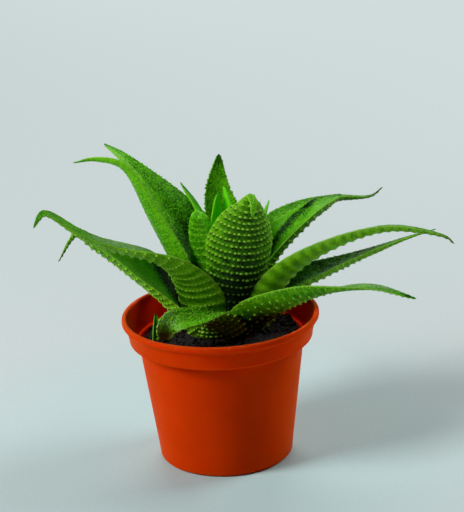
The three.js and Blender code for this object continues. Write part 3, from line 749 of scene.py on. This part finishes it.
def pot_profile():
    """The wall's outline as (radius, height) pairs, from the base up outside, over the lip and down
    inside to the floor."""
    band_top = RIM_RADIUS - 1.6
    lip_inside = RIM_RADIUS - LIP_WIDTH
    lip_low = POT_HEIGHT - LIP_HEIGHT
    return np.concatenate((
        rounded((BASE_RADIUS - BASE_EDGE, BASE_EDGE), BASE_EDGE, -90, -8, 8),
        np.linspace((BASE_RADIUS + 0.6, 7), (STEP_RADIUS, STEP_Z - 0.8), 14),
        rounded((STEP_RADIUS + 0.6, STEP_Z - 0.6), 0.6, 180, 90, 4),
        rounded((BAND_RADIUS - 0.9, STEP_Z + 0.9), 0.9, -90, 0, 6),
        np.linspace((BAND_RADIUS + 0.1, STEP_Z + 2), (band_top, lip_low - 0.3), 5),
        rounded((RIM_RADIUS - 1.1, lip_low + 1.1), 1.1, -60, 0, 5),
        rounded((RIM_RADIUS - 1.15, POT_HEIGHT - 1.15), 1.15, 5, 90, 7),
        rounded((lip_inside + 1.0, POT_HEIGHT - 1.0), 1.0, 90, 180, 6),
        np.linspace((lip_inside - 0.25, POT_HEIGHT - 2.2), (BAND_RADIUS - WALL, STEP_Z + 1.8), 6),
        np.linspace((STEP_RADIUS - WALL, STEP_Z - 1.5), (BASE_RADIUS - WALL, WALL + 0.8), 8),
    ))


def drain_plates(arc_points, side_points):
    """For each drain hole, the points round the sector of the floor that it lies in and those round the
    hole, at height 0. A sector has as many points on its outline as on its hole, so quads join the
    two."""
    sector = 2 * math.pi / DRAIN_HOLES
    arc = np.linspace(-sector / 2, sector / 2, arc_points, endpoint=False)
    side = (DRAIN_OUTER - DRAIN_INNER) * np.linspace(0, 1, side_points, endpoint=False)
    radius = np.concatenate((np.full(arc_points, DRAIN_OUTER), DRAIN_OUTER - side,
                             np.full(arc_points, DRAIN_INNER), DRAIN_INNER + side))
    angle = np.concatenate((arc, np.full(side_points, sector / 2), -arc,
                            np.full(side_points, -sector / 2)))
    outline = polar(radius, angle, 0)
    hole = polar(DRAIN_RADIUS, np.arctan2(outline[:, 1], outline[:, 0] - DRAIN_RING), 0)
    hole[:, 0] += DRAIN_RING
    for turn in sector * np.arange(DRAIN_HOLES):
        turned = np.array(((math.cos(turn), math.sin(turn), 0), (-math.sin(turn), math.cos(turn), 0),
                           (0, 0, 1)))
        yield outline @ turned, hole @ turned


def sheet(rings, inside=0):
    """An open band of the pot through closed rings of shape (n, m, 3)."""
    return part(rings.reshape(-1, 3), ring_faces(*rings.shape[:2]), inside=inside)


def pot_parts():
    """The pot's sheets: its profile turned round the axis with a slight wobble of the lip, and the two
    sides of a floor with drain holes. weld() joins them into one closed shell."""
    profile = pot_profile()
    turn = circle(POT_SIDES)
    lean = smoothstep((profile[:, 1:] - STEP_Z) / BAND_HEIGHT)
    wobble = lean * (0.12 * np.sin(2 * turn + 0.7) + 0.08 * np.sin(5 * turn + 2.1))
    radius = profile[:, :1] + wobble
    height = profile[:, 1:] + lean * 0.1 * np.sin(3 * turn + 0.4) - 0.1 * lean
    inner = np.repeat(np.arange(len(profile)) > len(profile) - INNER_WALL_POINTS, POT_SIDES)
    parts = [sheet(polar(radius, turn, height), inner)]
    for z, (edge, edge_z) in ((0, profile[0]), (WALL, profile[-1])):
        bands = np.array(((edge, edge_z), (edge - 1.5, z), (DRAIN_OUTER, z)))
        parts.append(sheet(polar(bands[:, :1], turn, bands[:, 1:])))
        middle = polar(np.array((DRAIN_INNER, 9, 4))[:, None], turn, z)
        faces = (ring_faces(3, POT_SIDES), fan_faces(2 * POT_SIDES, POT_SIDES, 3 * POT_SIDES, False))
        parts.append(part(np.concatenate((middle.reshape(-1, 3), [(0, 0, z)])), np.concatenate(faces),
                          inside=0))
    blend = np.linspace(0, 1, 4)[:, None, None]
    up = np.array((0, 0, WALL))
    for outline, hole in drain_plates(POT_SIDES // DRAIN_HOLES, 8):
        plate = outline * (1 - blend) + hole * blend
        parts += [sheet(plate), sheet(plate + up), sheet(np.stack((hole, hole + up)))]
    return parts


def weld(made):
    """Joins points that lie on each other and turns every face outward."""
    mesh = bmesh.new()
    mesh.from_mesh(made.data)
    bmesh.ops.remove_doubles(mesh, verts=mesh.verts, dist=WELD_DISTANCE * MM)
    bmesh.ops.recalc_face_normals(mesh, faces=mesh.faces)
    mesh.to_mesh(made.data)
    mesh.free()


def soil_height(x, y):
    """Height of the soil: a low mound, a slight tilt and soft lumps."""
    distance = np.hypot(x, y) / STEP_RADIUS
    lumps = np.sin(0.31 * x + 1.7) * np.cos(0.27 * y - 0.6) + 0.6 * np.sin(0.55 * x - 0.4 * y + 2.1)
    return (SOIL_EDGE_Z + SOIL_MOUND * (1 - distance**2) + SOIL_TILT * x / STEP_RADIUS
            + SOIL_LUMP * lumps)


def wall_radius(z):
    """Inside radius of the pot's wall at a height, less a small gap."""
    return BASE_RADIUS + (STEP_RADIUS - BASE_RADIUS) * z / STEP_Z - WALL - 0.3


def soil_bed():
    """Soil: rings that climb the wall from the floor, then a finely lumped top that closes at a pole."""
    low = np.array(((WALL + 0.3,), (STEP_Z * 0.5,), (SOIL_WALL_Z,)))
    edge = wall_radius(SOIL_WALL_Z)
    radius = np.concatenate((wall_radius(low), edge * np.linspace(0.995, 0.02, 70)[:, None]))
    rings = polar(radius, circle(200), 0)
    x, y, z = np.moveaxis(rings, -1, 0)
    fine = ripple(rings, 4.5, 5, 3)
    z[:] = soil_height(x, y) + 0.55 * fine * smoothstep((edge - radius) / 2)
    z[:len(low)] = low
    points, faces = tube(rings, (0, 0, WALL + 0.3), (0, 0, soil_height(0, 0)))
    return part(points, faces, tone=with_poles(0.25 + 0.12 * fine))


def soil_crumbs(count, seed):
    """Crumbs of peat strewn on the soil: flattened beads of many sizes, turned every way."""
    rng = np.random.default_rng(seed)
    radius = wall_radius(SOIL_WALL_Z) * np.sqrt(rng.uniform(0, 0.985, count))
    turn = rng.uniform(0, 2 * math.pi, count)
    x, y = radius * np.cos(turn), radius * np.sin(turn)
    size = np.minimum(rng.gamma(3, 0.22, count) + 0.25, 1.9)
    place = np.stack((x, y, soil_height(x, y) + 0.25 * size), 1)
    room = wall_radius(SOIL_WALL_Z) - 0.8 * size
    place[:, :2] *= np.minimum(1, room / np.maximum(radius, 1e-6))[:, None]
    first = unit(rng.normal(size=(count, 3)))
    second = unit(np.cross(first, rng.normal(size=(count, 3))))
    sizes = size[:, None] * rng.uniform(0.55, 1, (count, 3)) * (1, 1, 0.8)
    return beads(place, first, second, np.cross(first, second), sizes, bead_shape(6, 3),
                 tone=rng.uniform(0.05, 0.5, count))


def soil_fibres(count, seed):
    """Root and bark fibres: thin bent tubes that lie on the soil, thickest in the middle."""
    rng = np.random.default_rng(seed)
    column = (count, 1)
    middle = wall_radius(STEP_Z) * np.sqrt(rng.uniform(0.02, 0.85, column))
    turn = rng.uniform(0, 2 * math.pi, column)
    heading = rng.uniform(0, 2 * math.pi, column)
    length = rng.uniform(3, 11, column)
    bend = rng.normal(0, 0.5, column)
    s = np.linspace(-0.5, 0.5, 9)
    x = middle * np.cos(turn) + length * s * np.cos(heading + bend * s)
    y = middle * np.sin(turn) + length * s * np.sin(heading + bend * s)
    pull = np.minimum(1, (wall_radius(SOIL_WALL_Z) - 1) / np.maximum(np.hypot(x, y), 1e-6))
    x, y = x * pull, y * pull
    hump = rng.uniform(0.2, 1.6, column) * (1 - (2 * s) ** 2)
    path = np.stack((x, y, soil_height(x, y) + 0.3 + hump), -1)
    tangent = unit(np.gradient(path, axis=1))
    side = unit(np.cross(tangent, (0, 0, 1)))
    up = np.cross(side, tangent)
    thick = (rng.uniform(0.12, 0.3, column) * (1.05 - (2 * s) ** 2 * 0.8))[..., None, None]
    angle = circle(5)[:, None]
    path, side, up = path[:, :, None], side[:, :, None], up[:, :, None]
    rings = path + thick * (np.cos(angle) * side + np.sin(angle) * up)
    return [part(*tube(ring, ring[0].mean(0), ring[-1].mean(0)), tone=tone)
            for ring, tone in zip(rings, rng.uniform(0.6, 1, count))]


# Materials

class Shader:
    """A new material and the short calls that fill its node tree."""

    def __init__(self, name):
        self.material = bpy.data.materials.new(name)
        self.material.use_nodes = True
        self.tree = self.material.node_tree
        self.surface = self.tree.nodes["Principled BSDF"]

    def put(self, target, value):
        """Links a socket into an input, or sets the input's own value. A colour is three numbers."""
        if isinstance(value, bpy.types.NodeSocket):
            self.tree.links.new(value, target)
        else:
            target.default_value = (*value, 1) if target.type == "RGBA" else value

    def node(self, kind, inputs=None, output=0, **settings):
        """Adds a node and returns one of its outputs. inputs maps input names or numbers to values."""
        made = self.tree.nodes.new("ShaderNode" + kind)
        for key, value in settings.items():
            setattr(made, key, value)
        for key, value in (inputs or {}).items():
            self.put(made.inputs[key], value)
        return made.outputs[output]

    def place(self):
        """Object coordinates."""
        return self.node("TexCoord", output="Object")

    def value(self, name):
        """A value that the mesh carries at each point."""
        return self.node("Attribute", output="Fac", attribute_name=name)

    def noise(self, scale, detail=3):
        """Noise from 0 to 1; scale is in repeats per metre."""
        return self.node("TexNoise", {"Vector": self.place(), "Scale": scale, "Detail": detail})

    def add(self, first, *others, clamp=False):
        """Sum of values, from the first to the last; clamp holds it between 0 and 1."""
        for count, value in enumerate(others, 1):
            first = self.node("Math", {0: first, 1: value}, operation="ADD",
                              use_clamp=clamp and count == len(others))
        return first

    def times(self, first, *others):
        """Product of values."""
        for value in others:
            first = self.node("Math", {0: first, 1: value}, operation="MULTIPLY")
        return first

    def swing(self, value, amount):
        """A value from 0 to 1 as a swing about 0, times an amount."""
        return self.times(self.add(value, -0.5), amount)

    def spread(self, value, low, high, to_low=0, to_high=1):
        """A value carried from one range to another, and held inside it."""
        return self.node("MapRange", {"Value": value, "From Min": low, "From Max": high,
                                      "To Min": to_low, "To Max": to_high})

    def mix(self, share, a, b, blend="MIX"):
        """Two colours mixed."""
        return self.node("Mix", {0: share, 6: a, 7: b}, output=2, data_type="RGBA", blend_type=blend)

    def ramp(self, value, stops):
        """A colour ramp through (place, colour) stops."""
        made = self.tree.nodes.new("ShaderNodeValToRGB")
        elements = made.color_ramp.elements
        while len(elements) < len(stops):
            elements.new(0.5)
        for element, (place, colour) in zip(elements, stops):
            element.position = place
            element.color = (*colour, 1)
        self.put(made.inputs[0], value)
        return made.outputs[0]

    def bump(self, height, strength, distance):
        """Fine relief from a height."""
        return self.node("Bump", {"Height": height, "Strength": strength, "Distance": distance})

    def finish(self, **inputs):
        """Sets the surface's inputs; an underscore in a name stands for a space."""
        for key, value in inputs.items():
            self.put(self.surface.inputs[key.replace("_", " ")], value)
        return self.material


def leaf_skin(name, look, bright, lift=0.0, glow=1.0):
    """Leaf skin: a green that follows the mesh's tone, mottled, paler on pearls and teeth, a little
    translucent, with a fine granular relief and painted grey glare along some margins. bright is its
    brightest green, lift brightens every tone, and glow multiplies the share of light that passes
    through."""
    s = Shader(name)
    fine = s.noise(1500)
    cells = s.node("TexVoronoi", {"Vector": s.place(), "Scale": 1250}, output="Distance")
    specks = s.times(s.spread(cells, 0.5, 0.15), s.spread(s.noise(480), 0.38, 0.58), s.value("speckle"))
    coarse = s.swing(s.noise(1300, 2), s.spread(s.value("speckle"), 0, 1, 0.3, 1.5))
    tone = s.add(s.value("tone"), s.swing(s.noise(260, 4), 0.7), coarse, s.swing(fine, 0.4),
                 s.times(specks, 0.8), lift, clamp=True)
    yellow = s.ramp(tone, ((0, look.dark_green), (0.45, look.mid_green), (1, bright)))
    pure = s.mix(1, yellow, PURE_GREEN, "MULTIPLY")
    colour = s.mix(s.value("pale"), s.mix(s.value("warm"), pure, yellow), look.pearl_colour)
    # Painted glare: grey mixed into the colour along some margins
    glare_share = s.times(s.value("bloom"), s.spread(s.noise(1400, 2), 0.4, 0.6))
    return s.finish(
        Base_Color=s.mix(glare_share, colour, look.bloom_colour),
        Roughness=s.spread(s.noise(700), 0.3, 0.7, 0.4, 0.56),
        Normal=s.bump(s.add(fine, s.times(specks, 2)), 0.5, 0.00025),
        Subsurface_Weight=glow * look.translucency, Subsurface_Radius=(0.35, 1, 0.1),
        Subsurface_Scale=0.0015, Specular_IOR_Level=0.1, Sheen_Weight=0.03, Sheen_Roughness=0.3,
        Sheen_Tint=(0.85, 0.95, 0.92),
    )


def pot_plastic(look):
    """Moulded plastic: an even orange-red with faint cloudiness, with painted shade as a deeper red on
    the inside, with dust in the grain and a duller, worn lip."""
    s = Shader("pot plastic")
    height = s.node("SeparateXYZ", {0: s.place()}, output=2)
    lip = s.spread(height, 0.0672, 0.0688)
    cloud = s.spread(s.noise(45, 5), 0.3, 0.7)
    worn = s.times(s.spread(s.noise(420, 6), 0.6, 0.72), lip, 0.55)
    dust = s.times(s.spread(s.noise(1300, 2), 0.62, 0.8), 0.05)
    colour = s.mix(cloud, look.pot_colour, 0.86 * np.array(look.pot_colour))
    # The inside's deeper red is painted shade within the pot
    for share, other in ((s.value("inside"), POT_INSIDE_SHADE), (s.times(lip, 0.4), POT_LIP),
                         (worn, POT_WORN), (dust, POT_DUST)):
        colour = s.mix(share, colour, other)
    return s.finish(
        Base_Color=colour, Roughness=s.spread(s.noise(120, 4), 0.3, 0.7, 0.34, 0.5),
        Normal=s.bump(s.noise(2600, 2), 0.12, 0.0001), Subsurface_Weight=0.8,
        Subsurface_Radius=(1, 0.04, 0.005), Subsurface_Scale=0.003, Specular_IOR_Level=0.008,
        Specular_Tint=(1, 0.4, 0.12), Sheen_Weight=0.16, Sheen_Roughness=0.5,
        Sheen_Tint=(1, 0.4, 0.02),
    )


def peat(look):
    """Peat: near black with brown crumbs and reddish fibres, by the mesh's tone."""
    s = Shader("peat")
    tone = s.add(s.value("tone"), s.swing(s.noise(900, 5), 0.35), clamp=True)
    dark = np.array(look.soil_colour)
    colour = s.ramp(tone, ((0, 0.35 * dark), (0.5, 1.4 * dark), (0.62, 2.2 * dark), (1, FIBRE_COLOUR)))
    return s.finish(Base_Color=colour, Roughness=0.9, Normal=s.bump(s.noise(2200, 4), 0.6, 0.0004))


def stem_skin():
    """Pale green stem with darker streaks."""
    s = Shader("stem skin")
    streaks = s.noise(600, 4)
    colour = s.ramp(streaks, ((0.3, (0.1, 0.16, 0.03)), (0.7, (0.3, 0.36, 0.12))))
    return s.finish(Base_Color=colour, Roughness=0.55, Normal=s.bump(streaks, 0.4, 0.0003))


def floor_paper(look):
    """Pale studio paper with a faint grain, a little bluer round the pot: a painted tint that cancels
    the red light the pot throws on the floor.
    """
    s = Shader("studio paper")
    grain = s.spread(s.noise(800), 0.35, 0.65)
    shade = s.mix(grain, look.floor_colour, 0.95 * np.array(look.floor_colour))
    away = s.node("VectorMath", {0: s.place()}, operation="LENGTH", output=1)
    # Painted cool tint near the pot against the red light that it throws on the floor
    near = s.mix(s.spread(away, 0.04, 0.17), RED_BOUNCE_CANCEL, (1, 1, 1))
    return s.finish(Base_Color=s.mix(1, shade, near, "MULTIPLY"), Roughness=0.85, Specular_IOR_Level=0.2)


# Settings

def colour_setting(name, description, default):
    """A colour that the user may change."""
    return FloatVectorProperty(name=name, description=description, default=default, subtype="COLOR",
                               size=3, min=0.0, max=1.0)


class HaworthiaLeafSettings(bpy.types.PropertyGroup):
    """Colours and finish of the leaves."""

    dark_green: colour_setting("Dark green", "Shaded, channelled parts of a leaf", (0.003, 0.022, 0.001))
    mid_green: colour_setting("Mid green", "Most of a leaf", (0.062, 0.27, 0.001))
    # Partly the young heart leaves' own brighter green and partly painted light, as if light shone
    # through them
    bright_green: colour_setting("Bright green", "Young and thin parts of a leaf", (0.23, 0.62, 0.008))
    heart_green: colour_setting("Heart green", "Brightest green of the heart leaves", (0.32, 0.9, 0.015))
    # Colour of the painted grey glare along some margins
    bloom_colour: colour_setting("Glare", "Painted grey bloom along some margins", (0.25, 0.37, 0.19))
    pearl_colour: colour_setting("Pearls", "Tubercles and teeth", (0.38, 0.74, 0.06))
    translucency: FloatProperty(name="Translucency", description="Share of light scattered in the leaf",
                                default=0.12, min=0.0, max=1.0, subtype="FACTOR")


class HaworthiaPotSettings(bpy.types.PropertyGroup):
    """Colours of the pot and the peat, and how much loose peat lies on top."""

    pot_colour: colour_setting("Pot", "Moulded plastic of the pot", (0.78, 0.041, 0.0004))
    soil_colour: colour_setting("Peat", "Moist peat", (0.0065, 0.0045, 0.0036))
    crumbs: IntProperty(name="Crumbs", description="Loose crumbs of peat on the surface", default=1500,
                        min=0, max=3000)
    fibres: IntProperty(name="Fibres", description="Root and bark fibres on the surface", default=90,
                        min=0, max=300)


def power_setting(name, description, default):
    """A light's power."""
    return FloatProperty(name=name, description=description, default=default, min=0.0, unit="POWER")


class HaworthiaStageSettings(bpy.types.PropertyGroup):
    """Floor and lights."""

    floor_colour: colour_setting("Floor", "Studio paper", (0.62, 0.7, 0.7))
    floor_radius: FloatProperty(name="Floor radius", description="Size of the round floor", default=4.0,
                                min=1.0, max=10.0, unit="LENGTH", subtype="DISTANCE")
    left_power: power_setting("Left light", "Main soft box", 13.0)
    right_power: power_setting("Right light", "Weaker soft box at the back right", 7.5)
    back_power: power_setting("Back light", "Soft box over the floor behind", 18.0)
    sky: FloatProperty(name="Surroundings", description="Even light from all round", default=0.02,
                       min=0.0)


# Operators

class HAWORTHIA_OT_leaves(bpy.types.Operator):
    """Grow every leaf of the rosette in the place of its solid"""

    bl_idname = "haworthia.leaves"
    bl_label = "Leaves"

    def execute(self, context):
        look = context.scene.haworthia_leaves
        # The heart skin's brighter green and lift are partly painted light, standing in for light that
        # shines through the young leaves
        skins = {"leaf": leaf_skin("leaf skin", look, look.bright_green),
                 "heart_leaf": leaf_skin("heart leaf skin", look, look.heart_green, 0.1, HEART_GLOW)}
        for index, (name, spec) in enumerate(LEAVES.items()):
            slot = spec.get("slot", "leaf")
            make_piece(name + "_blade", leaf_parts(spec, 100 * index + 7), skins[slot], slot, name)
        return {"FINISHED"}


class HAWORTHIA_OT_offset_shoot(bpy.types.Operator):
    """Grow the two small blades of the offset shoot"""

    bl_idname = "haworthia.offset_shoot"
    bl_label = "Offset shoot"

    def execute(self, context):
        look = context.scene.haworthia_leaves
        skin = leaf_skin("shoot skin", look, look.bright_green)
        parts = [shell for index, spec in enumerate(SHOOT_BLADES)
                 for shell in leaf_parts(spec, 9000 + 50 * index)]
        make_piece("offset_shoot_blades", parts, skin, "heart_leaf", "offset_shoot")
        return {"FINISHED"}


class HAWORTHIA_OT_pot(bpy.types.Operator):
    """Turn the pot with its rolled lip, rim band and drain holes"""

    bl_idname = "haworthia.pot"
    bl_label = "Pot"

    def execute(self, context):
        look = context.scene.haworthia_pot
        weld(make_piece("pot_shell", pot_parts(), pot_plastic(look), "pot_plastic", "pot"))
        return {"FINISHED"}


class HAWORTHIA_OT_soil(bpy.types.Operator):
    """Lay the peat with its crumbs and fibres"""

    bl_idname = "haworthia.soil"
    bl_label = "Soil"

    def execute(self, context):
        look = context.scene.haworthia_pot
        parts = [soil_bed(), soil_crumbs(look.crumbs, 21), *soil_fibres(look.fibres, 22)]
        make_piece("peat_bed", parts, peat(look), "peat", "soil")
        return {"FINISHED"}


class HAWORTHIA_OT_crown(bpy.types.Operator):
    """Give the crown its stem skin"""

    bl_idname = "haworthia.crown"
    bl_label = "Crown"

    def execute(self, context):
        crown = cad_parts["crown"]
        crown.data.materials.clear()
        crown.data.materials.append(stem_skin())
        return {"FINISHED"}


# Lights and camera

def soft_box(name, target, azimuth, elevation, distance, size, power):
    """A square soft box that faces a point. Azimuth 0 is the camera's side, and it grows to the left."""
    azimuth, elevation = math.radians(azimuth), math.radians(elevation)
    away = Vector((-math.sin(azimuth) * math.cos(elevation), -math.cos(azimuth) * math.cos(elevation),
                   math.sin(elevation)))
    light = bpy.data.lights.new(name, "AREA")
    light.size = size
    light.energy = power
    made = bpy.data.objects.new(name, light)
    made.location = Vector(target) + distance * away
    made.rotation_euler = (-away).to_track_quat("-Z", "Y").to_euler()
    bpy.context.scene.collection.objects.link(made)


def camera_matrix():
    """The camera's place and axes: it looks at the target from the front and above, and its frame is
    turned a little about the line of sight."""
    elevation, roll = math.radians(CAMERA_ELEVATION), math.radians(CAMERA_ROLL)
    back = Vector((0, -math.cos(elevation), math.sin(elevation)))
    right = Vector((1, 0, 0))
    up = back.cross(right)
    turned_right = math.cos(roll) * right + math.sin(roll) * up
    turned_up = math.cos(roll) * up - math.sin(roll) * right
    axes = Matrix((turned_right, turned_up, back)).transposed().to_4x4()
    return Matrix.Translation(Vector(CAMERA_TARGET) + CAMERA_DISTANCE * back) @ axes


# Stage, panel and registration

class HAWORTHIA_OT_stage(bpy.types.Operator):
    """Set the floor, the lights and the camera"""

    bl_idname = "haworthia.stage"
    bl_label = "Stage"

    def execute(self, context):
        look = context.scene.haworthia_stage
        rim = polar(look.floor_radius, circle(96), 0)
        mesh = bpy.data.meshes.new("studio_floor")
        mesh.from_pydata(rim.tolist(), [], [list(range(len(rim)))])
        mesh.materials.append(floor_paper(look))
        floor = bpy.data.objects.new("studio_floor", mesh)
        context.scene.collection.objects.link(floor)

        middle = (0, 0, 0.07)
        soft_box("left_light", middle, 67, 38, 1.3, 0.45, look.left_power)
        soft_box("right_light", middle, -111, 35, 1.3, 0.6, look.right_power)
        soft_box("back_light", (0, 1.2, 0), 180, 71.5, 1.26, 1.2, look.back_power)

        world = bpy.data.worlds.new("surroundings")
        world.use_nodes = True
        background = world.node_tree.nodes["Background"]
        background.inputs["Color"].default_value = SURROUNDINGS
        background.inputs["Strength"].default_value = look.sky
        context.scene.world = world
        context.scene.view_settings.view_transform = "Standard"

        camera = bpy.data.cameras.new("camera")
        camera.lens = FOCAL_PIXELS / FRAME_LONG_SIDE * SENSOR
        camera.sensor_width = SENSOR
        camera.clip_start, camera.clip_end = 0.05, 20
        made = bpy.data.objects.new("camera", camera)
        made.matrix_world = camera_matrix()
        context.scene.collection.objects.link(made)
        context.scene.camera = made
        return {"FINISHED"}


OPERATORS = (HAWORTHIA_OT_pot, HAWORTHIA_OT_soil, HAWORTHIA_OT_crown, HAWORTHIA_OT_leaves,
             HAWORTHIA_OT_offset_shoot, HAWORTHIA_OT_stage)
SETTINGS = {"haworthia_leaves": HaworthiaLeafSettings, "haworthia_pot": HaworthiaPotSettings,
            "haworthia_stage": HaworthiaStageSettings}


class HAWORTHIA_PT_panel(bpy.types.Panel):
    """Buttons and settings of the potted haworthia"""

    bl_idname = "HAWORTHIA_PT_panel"
    bl_label = "Potted Haworthia"
    bl_space_type = "VIEW_3D"
    bl_region_type = "UI"
    bl_category = "Haworthia"

    def draw(self, context):
        for key in SETTINGS:
            box = self.layout.box()
            settings = getattr(context.scene, key)
            for name in settings.__annotations__:
                box.prop(settings, name)
        for operator in OPERATORS:
            self.layout.operator(operator.bl_idname)


def register():
    """Adds the settings, the operators and the panel."""
    for key, group in SETTINGS.items():
        bpy.utils.register_class(group)
        setattr(bpy.types.Scene, key, PointerProperty(type=group))
    for operator in OPERATORS:
        bpy.utils.register_class(operator)
    bpy.utils.register_class(HAWORTHIA_PT_panel)


def unregister():
    """Takes them away again."""
    bpy.utils.unregister_class(HAWORTHIA_PT_panel)
    for operator in reversed(OPERATORS):
        bpy.utils.unregister_class(operator)
    for key, group in SETTINGS.items():
        delattr(bpy.types.Scene, key)
        bpy.utils.unregister_class(group)


def main():
    """Registers the add-on and builds every piece in order."""
    register()
    for operator in OPERATORS:
        group, action = operator.bl_idname.split(".")
        getattr(getattr(bpy.ops, group), action)()


if __name__ == "__main__":
    main()
